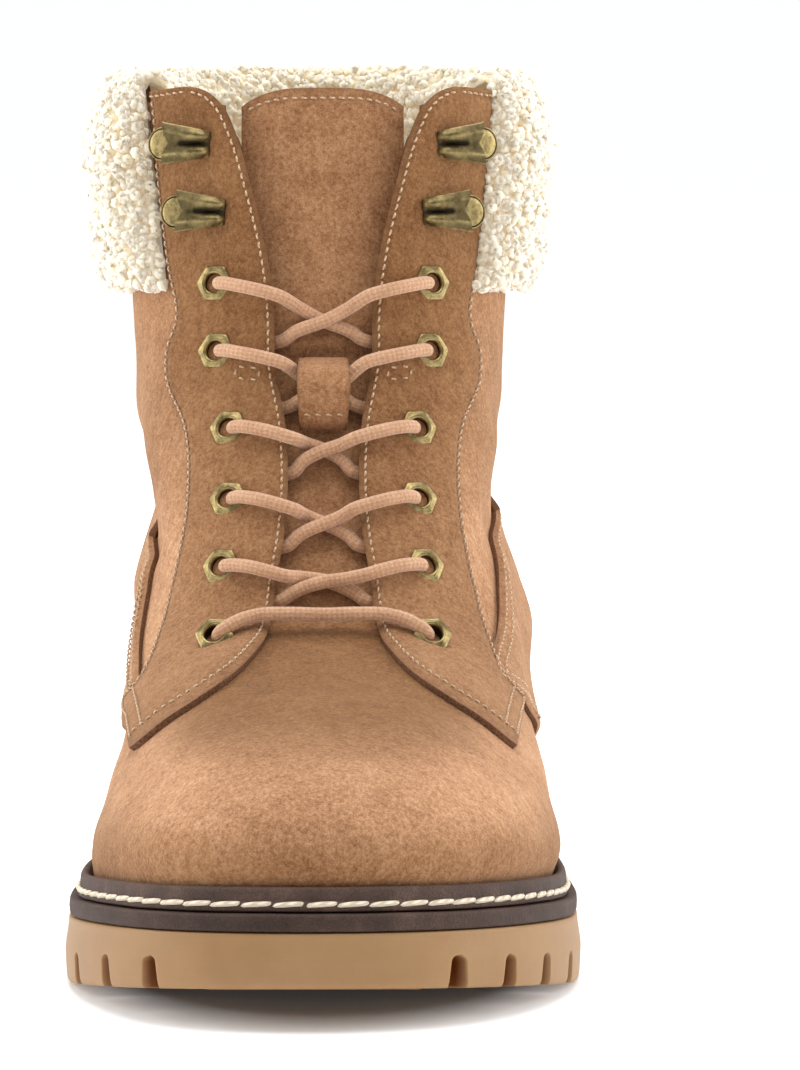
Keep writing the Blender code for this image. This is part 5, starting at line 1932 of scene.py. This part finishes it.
@dataclass
class Studio:
    """Plain pale floor, soft light from above and both sides, and the camera in front of the toe."""

    eye: tuple = (0.0, -1.46443, 0.19794)
    tilt: float = 0.076396
    turn: float = 0.01101
    lens: float = 234.77
    world: float = 0.48
    floor_half: float = 400.0
    # name, place, aim, width and power of each lamp
    lamps: tuple = (
        ("above", (0.0, -0.12, 1.5), (0.0, -0.05, 0.08), 1.1, 14.0),
        ("left_side", (-1.15, 0.10, 0.55), (0.0, 0.0, 0.09), 0.9, 9.0),
        ("right_side", (1.15, 0.10, 0.55), (0.0, 0.0, 0.09), 0.9, 9.0),
        ("behind", (0.0, 0.75, 1.3), (0.0, 0.05, 0.16), 0.9, 6.0),
    )

    def build(self) -> None:
        """Floor, world, lights and camera."""
        self.floor()
        world = bpy.data.worlds.new("studio_world")
        bpy.context.scene.world = world
        world.use_nodes = True
        back = world.node_tree.nodes["Background"]
        back.inputs[0].default_value = (1.0, 0.995, 0.985, 1.0)
        back.inputs[1].default_value = self.world
        for lamp in self.lamps:
            self.lamp(*lamp)
        self.place_camera()

    def floor(self) -> None:
        """A wide white sheet at height nought, that turns up far away."""
        far, rim = self.floor_half, self.floor_half + 30.0
        wide = np.array((-rim, -far, far, rim))
        x, y = np.meshgrid(wide, wide)
        height = np.where(np.maximum(np.abs(x), np.abs(y)) > far, 30.0, 0.0)
        piece = make("studio_floor", net(np.stack([x, y, height], axis=-1)), Paper())

    def lamp(self, name: str, spot: tuple, aim: tuple, size: float, power: float) -> None:
        """A square soft light.

        Args:
            name: Its name.
            spot: Where it hangs.
            aim: What it is turned to.
            size: Its width, in metres.
            power: In watts.
        """
        data = bpy.data.lights.new(name, "AREA")
        data.shape = "SQUARE"
        data.size = size
        data.energy = power
        lamp = bpy.data.objects.new(name, data)
        away = unit(np.array(spot) - np.array(aim))
        lamp.location = spot
        lamp.rotation_euler = (math.acos(away[2]), 0.0, math.atan2(away[0], -away[1]))
        bpy.context.scene.collection.objects.link(lamp)

    def place_camera(self) -> None:
        """A long lens, a little above the boot's middle and tilted down."""
        data = bpy.data.cameras.new("camera")
        data.sensor_width = 36.0
        data.lens = self.lens
        data.clip_end = 2000.0
        camera = bpy.data.objects.new("camera", data)
        camera.location = self.eye
        camera.rotation_euler = (math.pi / 2 - self.tilt, 0.0, -self.turn)
        bpy.context.scene.collection.objects.link(camera)
        bpy.context.scene.camera = camera
        bpy.context.scene.view_settings.view_transform = "Standard"


# ---------------------------------------------------------------- the fleece

@dataclass
class Collar:
    """Fleece cuff over the top edge: a lumpy band covered in small curls."""

    last: Last
    cell: float = 2.35
    lump: float = 1.45
    sunk: float = 0.80
    curl_radius: float = 0.82
    curl_thick: float = 0.80
    curl_rings: int = 8
    curl_sides: int = 4
    seed: int = 11
    start_gap: float = -0.7
    # distance out from the shaft and height of the visible face, then of the hidden one
    face: tuple = (
        (0.7, 138.2), (2.6, 136.9), (4.6, 136.9), (6.3, 138.6), (7.0, 142.0), (7.4, 146.0), (7.7, 151.0),
        (8.0, 156.0), (8.5, 161.0), (8.5, 166.0), (7.6, 171.0), (6.2, 175.6), (4.2, 179.6), (1.2, 182.0),
        (-2.2, 181.8), (-5.2, 179.0), (-6.6, 174.0), (-6.6, 169.0), (-4.2, 164.0),
    )
    back: tuple = ((-2.7, 165.5), (-2.7, 180.4), (0.7, 180.4), (0.7, 160.0))

    def lay(self, offset: Array, height: Array, around: Array) -> tuple:
        """Places of the cuff on the shaft.

        Args:
            offset: Distance out from the shaft, in millimetres.
            height: Height, in millimetres.
            around: From 0 at the lateral facing, round the heel, to 1 at the medial one.

        Returns:
            Points and outward normals.
        """
        last = self.last
        x = (read(Facing.outer[::-1], height) + self.start_gap) * MM
        start = last.seen(x, np.minimum(height, 180.0) * MM)[1]
        share = start + (2 - 2 * start) * around
        share = np.where(share > 1, share - 2, share)
        level = last.level_of(height * MM, share)
        inside = np.clip(level, 0.0, 1.03)
        point, normal = last.blend(inside, share)
        point = point + normal * (offset * MM)[..., None]
        point[..., 2] += (level - inside) * (last.sizes.shaft_top * MM - last.bottom.feather(point[..., 1]))
        return point, normal

    def ends(self, around: Array) -> Array:
        """How full the cuff is: a quarter circle at both ends."""
        rise = np.clip(np.minimum(around, 1 - around) / 0.034, 0, 1)
        return 0.10 + 0.90 * np.sqrt(1 - (1 - rise) ** 2)

    def build(self) -> None:
        """The band with its lumps, then the curls.

        The band's face is its section carried round the shaft. A lump stands on each of some
        thousands of scattered seeds: its height falls with the square of the distance to the seed,
        and the nearer the second seed is, the deeper the crease.
        """
        turn = np.linspace(0, 1, 470)
        around = turn - 0.86 * np.sin(2 * math.pi * turn) / (2 * math.pi)
        face = open_curve(self.face, 0.68)
        count = len(face)
        section = np.concatenate([face, open_curve([self.face[-1], *self.back, self.face[0]], 4.0)[1:-1]])
        offset, height, place = np.broadcast_arrays(section[:, :1], section[:, 1:], around[None])
        reach = np.where(offset > 0.7, 0.7 + (offset - 0.7) * self.ends(around)[None], offset)
        base, _ = self.lay(reach, height, place)
        # outwards is up the section, by round the shaft
        out = unit(np.cross(np.gradient(base, axis=1), np.gradient(base, axis=0)))
        rng = np.random.default_rng(self.seed)
        seeds, seed_out, seed_tone = self.scatter(base[:count], out[:count], rng)
        dome, tone = self.domes(base[:count], seeds, seed_tone)
        rise, pile = np.zeros(offset.shape), np.full(offset.shape, 0.3)
        fade = smoothstep(np.minimum(np.arange(count), count - 1 - np.arange(count)) / 6.0)[:, None]
        rise[:count] = (dome * self.lump - self.sunk) * fade
        # pile mark: painted highlight on the lumps' tops and painted shade in the creases between them, with
        # each lump's random tone
        pile[:count] = np.clip(0.08 + 0.62 * dome + 0.3 * (tone - 0.5), 0, 1)
        grid, pile = (base + out * (rise * MM)[..., None])[::-1], pile[::-1]
        closed = net(np.concatenate([grid, grid[:1]]), pile=np.concatenate([pile, pile[:1]]))
        piece = make("fleece_cuff", closed, FLEECE, seams=True)
        self.close_ends(piece)
        seat(piece, Slot.FLEECE.value, "fleece_collar")
        edge, edge_out = self.edge_seeds(rng)
        seeds, seed_out = np.concatenate([seeds, edge]), np.concatenate([seed_out, edge_out])
        self.curls(seeds, seed_out, np.concatenate([seed_tone, rng.random(len(edge))]), rng)

    def edge_seeds(self, rng: Chance) -> tuple:
        """Seeds of the curls that fill both ends of the cuff, beside the facings.

        Args:
            rng: The cuff's random draws.

        Returns:
            Places and normals of the curls.
        """
        up = np.arange(139.2, 180.8, 1.6)
        height = np.tile(up, 6) + rng.uniform(-0.5, 0.5, 6 * len(up))
        offset = np.repeat((1.9, 3.4, 4.9) * 2, len(up)) + rng.uniform(-0.4, 0.4, len(height))
        around = np.repeat((0.004, 0.006, 0.009, 0.996, 0.994, 0.991), len(up))
        most = read(((139.2, 4.2), (142.0, 5.5), (176.0, 5.5), (181.0, 1.6)), height)
        return self.lay(np.minimum(offset, most), height, around)

    def scatter(self, base: Array, out: Array, rng: Chance) -> tuple:
        """Seeds over the face, evenly by area and jittered.

        Args:
            base: The face's points.
            out: Its normals.
            rng: Source of chance with a fixed seed.

        Returns:
            The seeds, their normals and their tones from 0 to 1.
        """
        across = np.linalg.norm(np.diff(base, axis=1), axis=2)[:-1]
        up = np.linalg.norm(np.diff(base, axis=0), axis=2)[:, :-1]
        area = (across * up).ravel()
        count = int(area.sum() / (self.cell * MM) ** 2 * 1.15)
        # even steps through the summed area, jittered, visit every part alike
        order = rng.permutation(len(area))
        steps = (np.arange(count * 3) + rng.random(count * 3)) / (count * 3) * area.sum()
        pick = order[np.clip(np.searchsorted(np.cumsum(area[order]), steps), 0, len(area) - 1)]
        i, j = np.unravel_index(pick, (base.shape[0] - 1, base.shape[1] - 1))
        spots = base[i, j] + (base[i + 1, j] - base[i, j]) * rng.random((len(i), 1))
        spots = spots + (base[i, j + 1] - base[i, j]) * rng.random((len(i), 1))
        # spots keep their distance: in cubes near the cell's size, only the first is kept
        cube = np.floor(spots / (self.cell * 0.78 * MM)).astype(int)
        keep = np.sort(np.unique(cube, axis=0, return_index=True)[1])[: count * 2]
        return spots[keep], out[i, j][keep], rng.random(len(keep))

    def domes(self, base: Array, seeds: Array, tones: Array) -> tuple:
        """Lumps over the face.

        Args:
            base: The face's points.
            seeds: The lumps' places.
            tones: The lumps' tones.

        Returns:
            Height from 0 to 1 at each point, and the tone of the nearest seed.
        """
        flat, spots = base.reshape(-1, 3) / MM, seeds / MM
        near, tone = np.empty((len(flat), 2)), np.empty(len(flat))
        for part in np.array_split(np.arange(len(flat)), 24):
            square = (flat[part] ** 2).sum(1)[:, None] + (spots**2).sum(1)[None] - 2 * flat[part] @ spots.T
            two = np.argpartition(square, 1, axis=1)[:, :2]
            found = np.sqrt(np.maximum(np.take_along_axis(square, two, axis=1), 0))
            order = found.argsort(axis=1)
            near[part] = np.take_along_axis(found, order, axis=1)
            tone[part] = tones[np.take_along_axis(two, order, axis=1)[:, 0]]
        dome = np.clip(1.05 - (near[:, 0] / (self.cell * 0.86)) ** 2, 0, 1) ** 0.75
        crease = np.clip((near[:, 1] - near[:, 0]) / (self.cell * 0.42), 0, 1) ** 0.6
        height = dome * (0.45 + 0.55 * crease) * (0.72 + 0.40 * tone)
        return height.reshape(base.shape[:2]), tone.reshape(base.shape[:2])

    def close_ends(self, piece: Piece) -> None:
        """Fills the two open ends of the band.

        Args:
            piece: The band's piece.
        """
        work = bmesh.new()
        work.from_mesh(piece.data)
        bmesh.ops.holes_fill(work, edges=[edge for edge in work.edges if edge.is_boundary], sides=0)
        bmesh.ops.recalc_face_normals(work, faces=work.faces)
        work.to_mesh(piece.data)
        work.free()

    def curls(self, seeds: Array, out: Array, tones: Array, rng: Chance) -> None:
        """One small curl on each seed, half sunk in its lump.

        A curl is a coil of about a turn: its middle runs round a circle that shrinks by a third,
        leaning on the lump, and its thickness swells in the middle and thins at both tips.

        Args:
            seeds: The curls' places.
            out: The face's normals there.
            tones: The curls' tones.
            rng: Source of chance with a fixed seed.
        """
        count = len(seeds)
        turn = rng.random(count) * 2 * math.pi
        one = unit(np.cross(out, unit(rng.normal(size=(count, 3)))))
        lean = rng.uniform(0.15, 0.9, count)[:, None]
        two = unit(np.cross(out, one) * np.cos(lean) + out * np.sin(lean))
        s = np.linspace(0, 1, self.curl_rings)
        angle = turn[:, None] + s[None] * 2 * math.pi * rng.uniform(0.9, 1.4, count)[:, None]
        wide = (self.curl_radius * rng.uniform(0.75, 1.25, count))[:, None] * (1 - 0.33 * s[None]) * MM
        lift = (self.lump * (0.45 + 0.35 * tones) - self.sunk + 0.05) * MM
        centre = seeds + out * lift[:, None] + rng.normal(size=(count, 3)) * 0.25 * MM
        middle = (
            centre[:, None] + one[:, None] * (np.cos(angle) * wide)[..., None]
            + two[:, None] * (np.sin(angle) * wide)[..., None]
            + out[:, None] * ((s[None] - 0.3) * rng.uniform(-0.3, 0.9, count)[:, None] * MM)[..., None]
        )
        along = unit(np.gradient(middle, axis=1))
        side = unit(np.cross(along, out[:, None]) + 1e-6)
        thick = self.curl_thick * MM * (0.35 + 0.75 * np.sin(math.pi * s) ** 0.6)
        thick = thick * rng.uniform(0.8, 1.2, count)[:, None]
        ring = rings(side, np.cross(side, along), self.curl_sides)
        points = middle[:, :, None] + ring * thick[..., None, None]
        # a curl's tone: random, with painted highlight round its middle that fades to painted shade at its
        # thin tips
        tone = 0.52 + 0.34 * (tones - 0.5)[:, None, None] + 0.30 * np.sin(math.pi * s)[None, :, None]
        pile = np.broadcast_to(np.clip(tone, 0, 1), points.shape[:3])
        faces = np.concatenate(tube_faces(self.curl_sides, self.curl_rings, ((0, 3, 2, 1),)))
        behind = seeds[:, 1] > np.median(seeds[:, 1])
        for name, part in (("fleece_curls_front", ~behind), ("fleece_curls_back", behind)):
            own = repeated(faces, int(part.sum()), self.curl_rings * self.curl_sides)
            skin = Skin(points[part].reshape(-1, 3), own, None, {"pile": pile[part].reshape(-1)})
            seat(make(name, skin, FLEECE), Slot.FLEECE.value)


# ---------------------------------------------------------------- metalwork and laces

# height and distance from the middle of each, from the top, in millimetres
EYELETS = ((137.8, 22.1), (123.6, 21.8), (107.6, 19.2), (93.3, 19.2), (80.1, 20.4), (66.4, 21.6))
HOOKS = ((167.2, 29.7), (152.7, 26.9))
FACING_FACE = 2.05


def eyelet_frame(last: Last, side: int, number: int) -> tuple:
    """Centre, normal, level and up directions of an eyelet; the lowest is turned furthest from the hide."""
    z, x = EYELETS[number - 1]
    lowest = number == len(EYELETS)
    centre, normal, level, up = last.front_frame(side * x, z, 0.8 if lowest else 0.40)
    return centre + normal * (1.2 * MM if lowest else 0.0), normal, level, up


@dataclass
class Eyelet:
    """A six-sided brass eyelet: a rolled bore, bevelled flats and a barrel through the hide."""

    last: Last
    side: int
    number: int
    across: float = 8.4
    columns: int = 48
    # how six-sided each loop is, its radius as a share of half the width across, its height
    loops: tuple = (
        (0.0, 0.50, -4.0), (0.0, 0.475, -4.0), (0.0, 0.475, -0.2), (0.0, 0.485, 0.45), (0.0, 0.53, 0.78),
        (0.0, 0.60, 0.90), (0.25, 0.67, 0.84), (0.8, 0.76, 0.66), (1.0, 0.90, 0.52), (1.0, 0.965, 0.44),
        (1.0, 1.0, 0.28), (1.0, 1.0, 0.10), (1.0, 0.97, 0.0), (0.0, 0.60, 0.0), (0.0, 0.60, -4.0),
        (0.0, 0.50, -4.0),
    )

    def build(self) -> None:
        """The eyelet's surface: loops round its middle.

        A flat-sided loop has the radius R cos 30 over cos(t - 30) within each sixth of the turn,
        less its cut-off corners.
        """
        centre, normal, side, up = eyelet_frame(self.last, self.side, self.number)
        turn = np.arange(self.columns) * 2 * math.pi / self.columns
        sixth = np.mod(turn, math.pi / 3) - math.pi / 6
        flat = np.minimum(math.cos(math.pi / 6) / np.cos(sixth), 0.972)
        six, radius, height = (table(self.loops, k)[:, None] for k in range(3))
        reach = radius * (1 - six + six * flat[None]) * self.across / 2
        ring = np.cos(turn)[:, None] * side + np.sin(turn)[:, None] * up
        low = FACING_FACE + 0.15
        grid = centre + ((low + height) * MM)[..., None] * normal + (reach * MM)[..., None] * ring[None]
        # painted shade inside the bore and barrel, and a darker ring on the rolled rim
        hollow = np.where(height < 0.3, 0.9, 0.0) * (radius < 0.9) + 0.35 * bell(radius - 0.80, 0.05)
        name = f"eyelet_{side_word(self.side)}_{self.number}"
        skin = net(grid, wrap=True, hollow=np.clip(hollow, 0, 1))
        seat(make(f"brass_{name}", skin, BRASS), Slot.BRASS.value, name)


@dataclass
class Hook:
    """A brass lace hook: a riveted disc, and a clip that folds back over it and opens outwards."""

    last: Last
    side: int
    number: int
    thick: float = 0.5
    ahead: float = 0.5
    disc_at: float = 3.4
    columns: int = 40
    # along the clip from its open mouth, round the fold, to the rivet: distance out, height, half-width
    strip: tuple = (
        (2.0, 4.40, 4.30), (1.0, 4.35, 4.10), (-1.4, 4.20, 3.70), (-3.8, 4.00, 3.35), (-5.8, 3.75, 3.05),
        (-7.4, 3.30, 2.80), (-8.4, 2.40, 2.65), (-8.5, 1.30, 2.60), (-7.6, 0.60, 2.65), (-5.2, 0.35, 2.75),
        (-1.0, 0.30, 2.90), (3.4, 0.30, 2.90),
    )
    # the rivet's loops: radius, height, how dull
    rivet: tuple = (
        (0.0, 1.30, 0.0), (1.4, 1.32, 0.0), (2.6, 1.28, 0.0), (3.0, 1.20, 0.1), (3.12, 1.10, 0.6),
        (3.16, 0.85, 1.0), (3.28, 0.82, 1.0), (3.34, 1.02, 0.5), (3.44, 1.10, 0.0), (3.60, 1.02, 0.0),
        (3.70, 0.80, 0.4), (3.62, -2.60, 0.8), (0.0, -2.60, 1.0),
    )

    def place(self, out: Array, height: Array, across: Array) -> Array:
        """Points by distances from the hook's middle, all in millimetres.

        Args:
            out: Towards the outer side.
            height: Up from the facing's face.
            across: Up the boot.

        Returns:
            The points.
        """
        z, x = HOOKS[self.number - 1]
        centre, normal, side, up = self.last.front_frame(self.side * x, z, self.ahead)
        side = side * self.side
        height = FACING_FACE + 0.30 + height
        return centre + (out[..., None] * side + height[..., None] * normal + across[..., None] * up) * MM

    def clip(self) -> Skin:
        """The clip's outer face: a strip bent along its path, with two wings at its mouth."""
        path = open_curve(self.strip, 0.30)
        w = np.linspace(-1, 1, 25)[None]
        s = np.linspace(0, 1, len(path))[:, None]
        top = smoothstep((0.52 - s) / 0.06)
        ahead = unit(np.gradient(path[:, :2], axis=0))
        # each wing has a ridge, an outer flank, and a hollow that runs to the slot at the fold
        hollow = bell(w, 0.36) * (0.35 + 1.45 * smoothstep((s - 0.10) / 0.25))
        relief = -(hollow + 1.15 * np.clip((np.abs(w) - 0.60) / 0.40, 0, 1) ** 1.15) * top
        notch = 2.2 * (1 - np.abs(w)) * smoothstep((0.17 - s) / 0.17)
        out = path[:, :1] + ahead[:, 1:] * relief - notch
        grid = self.place(out, path[:, 1:2] - ahead[:, :1] * relief, w * path[:, 2:3])
        # painted shade in the hollow down the middle to the slot, and over the fold
        dull = 1.4 * bell(w, 0.34) * smoothstep((s - 0.12) / 0.10) * top + 0.75 * (1 - top) * np.ones_like(w)
        # the wings' facets are dull, and their edges and ridges are rubbed bright
        rubbed = np.maximum(bell(np.abs(w) - 0.60, 0.05), smoothstep((np.abs(w) - 0.93) / 0.04))
        dull = np.maximum(dull, 0.62 * (1 - rubbed) * (1 - 0.45 * smoothstep((s - 0.12) / 0.2)) * top)
        grid, dull = mirrored(self.side, grid, dull)
        return net(grid[::-1], hollow=np.clip(dull[::-1], 0, 1))

    def disc(self) -> Skin:
        """The rivet's head and shank: loops round its middle."""
        reach, height, dull = (table(self.rivet, k)[:, None] for k in range(3))
        turn = np.arange(self.columns) * 2 * math.pi / self.columns
        reach = np.maximum(reach, 1e-4)
        out = self.disc_at + reach * np.cos(turn)
        grid, = mirrored(self.side, self.place(out, np.broadcast_to(height, out.shape), reach * np.sin(turn)))
        return net(grid[::-1], wrap=True, hollow=dull[::-1])

    def build(self) -> None:
        """The clip and the riveted disc."""
        name = f"{side_word(self.side)}_{self.number}"
        clip = make(f"brass_clip_{name}", self.clip(), BRASS)
        thicken(clip, self.thick)
        ease(clip, 0.14, 40)
        for piece in (clip, make(f"brass_rivet_{name}", self.disc(), BRASS, seams=True)):
            seat(piece, Slot.BRASS.value, f"hook_{name}")


@dataclass
class Lacing:
    """Round woven laces through the eyelets: five crossings and the bar at the foot."""

    last: Last
    tongue: Tongue
    radius: float = 1.42
    sides: int = 20
    # height where each pair crosses, and where it goes in under the far facing
    crossings: tuple = ((129.0, 125.0), (113.6, 111.0), (101.7, 97.4), (87.0, 82.6), (75.4, 71.4))
    # the way up out of an eyelet: towards the throat, down the boot and out, from its middle
    rise: tuple = ((0.2, 0.0, -2.2), (0.45, 0.0, 0.3), (0.8, 0.0, 2.1), (1.5, 0.1, 3.35), (2.9, 0.2, 4.15))

    @property
    def above(self) -> float:
        """Height of a lace's middle where it lies on a facing, in millimetres."""
        return FACING_FACE + 0.75 + self.radius

    def half_gap(self, z: float) -> float:
        """Half the width between the facings at a height, in millimetres."""
        return float(read(Facing.inner[::-1], z))

    def from_eyelet(self, row: int, side: int) -> Array:
        """Points where a lace comes up out of an eyelet, leaning to the throat, and over its rim.

        Args:
            row: Which pair of eyelets, from the top.
            side: 1 lateral, -1 medial.

        Returns:
            The points.
        """
        centre, normal, across, up = eyelet_frame(self.last, side, row + 1)
        low = row == len(EYELETS) - 1
        steps = np.array(self.rise)
        rise = steps[:, 1:2] if low else -steps[:, 1:2]
        return centre + (-side * across * steps[:, :1] + up * rise + normal * steps[:, 2:]) * MM

    def run(self, row: int, side: int, over: bool) -> Array:
        """One lace of a crossing: up through the eyelet, over the tongue, in under the far facing.

        Args:
            row: Which pair of eyelets, from the top.
            side: 1 from the lateral eyelet, -1 from the medial.
            over: Whether it lies on the other lace.

        Returns:
            The lace's middle.
        """
        z, x = EYELETS[row]
        middle, entry = self.crossings[row]
        above = self.above
        rest = float(self.tongue.depth(middle)) + 0.5 + self.radius
        high = rest + (2.1 if over else -0.2)
        edge, far = self.half_gap(z - 2), self.half_gap(entry)
        plan = np.array([
            (x - 5.4, z - 1.0, above + 0.25), (edge + 1.2, z - 2.2, above + 0.10),
            (edge - 1.6, z - 3.2, above - 0.7),
            (edge * 0.45, middle * 0.55 + z * 0.45 - 1.5, high + 0.5), (0.0, middle, high),
            (-far * 0.62, middle * 0.42 + entry * 0.58, rest + (0.9 if over else 0.1)),
            (-far + 1.2, entry, rest + 0.1), (-far - 1.1, entry - 0.7, rest - 0.35),
        ])
        # the instep leans back, so what lies deeper is set higher, and laces run straight seen from the front
        plan[:, 1] += (above - plan[:, 2]) * self.last.front_frame(side * x * 0.5, middle)[1][2]
        on_tongue = self.last.front(side * plan[:, 0], plan[:, 1], plan[:, 2])
        return np.concatenate([self.from_eyelet(row, side), on_tongue])

    def bar(self) -> Array:
        """The straight run between the two lowest eyelets."""
        z, x = EYELETS[-1]
        above = self.above
        half = [(x - 4.6, z + 1.0, above - 0.2), (x - 8.6, z + 2.2, above - 0.1), (6.5, z + 2.8, above - 0.3)]
        plan = np.array([*half, (0.0, z + 2.9, above - 0.6), *((-a, b, c) for a, b, c in reversed(half))])
        across = self.last.front(plan[:, 0], plan[:, 1], plan[:, 2])
        return np.concatenate([self.from_eyelet(5, 1)[:3], across, self.from_eyelet(5, -1)[2::-1]])

    def lay(self, name: str, path: Array, node: str) -> None:
        """Makes one lace from its middle's stations, squeezed a little where it comes out of the eyelet."""
        line = open_curve(path, 0.45 * MM)
        radius = self.radius * (0.86 + 0.14 * smoothstep((run_length(line) / MM - 3.0) / 4.0))
        lace = rod(line, radius * MM, self.sides, facing=(0.0, 0.0, 1.0))
        seat(make(name, lace, LACE), Slot.LACE.value, node)

    def build(self) -> None:
        """All the laces."""
        for row in range(len(self.crossings)):
            node = f"lace_crossing_{row + 1}"
            self.lay(f"lace_over_{row + 1}", self.run(row, 1, True), node)
            self.lay(f"lace_under_{row + 1}", self.run(row, -1, False), node)
        self.lay("lace_foot_bar", self.bar(), "lace_bar")


# ---------------------------------------------------------------- assembly

FOLDS = (
    Fold(1, ((6, 92), (16, 84), (28, 77)), 5.0, 0.9),
    Fold(-1, ((4, 90), (14, 82), (26, 74)), 5.0, 0.9),
    Fold(1, ((24, 112), (48, 106), (78, 108)), 5.5, 0.8),
    Fold(-1, ((22, 108), (46, 103), (76, 106)), 5.5, 0.8),
    Fold(0, ((-78, 60), (-66, 58), (-52, 55)), 6.0, 0.4),
)


def main() -> None:
    """Builds the dressed boot in order."""
    logging.basicConfig(level=logging.INFO, format="%(name)s %(message)s")
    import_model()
    Studio().build()
    last = Last(LastSizes(), FOLDS)
    tongue = Tongue(last)
    parts = [Bottoming(last), Upper(last), tongue, Facing(last, 1), Facing(last, -1)]
    parts += [Quarter(last), Collar(last)]
    for side in (1, -1):
        parts += [Eyelet(last, side, number + 1) for number in range(len(EYELETS))]
        parts += [Hook(last, side, number + 1) for number in range(len(HOOKS))]
    for part in (*parts, Lacing(last, tongue)):
        part.build()


if __name__ == "__main__":
    main()
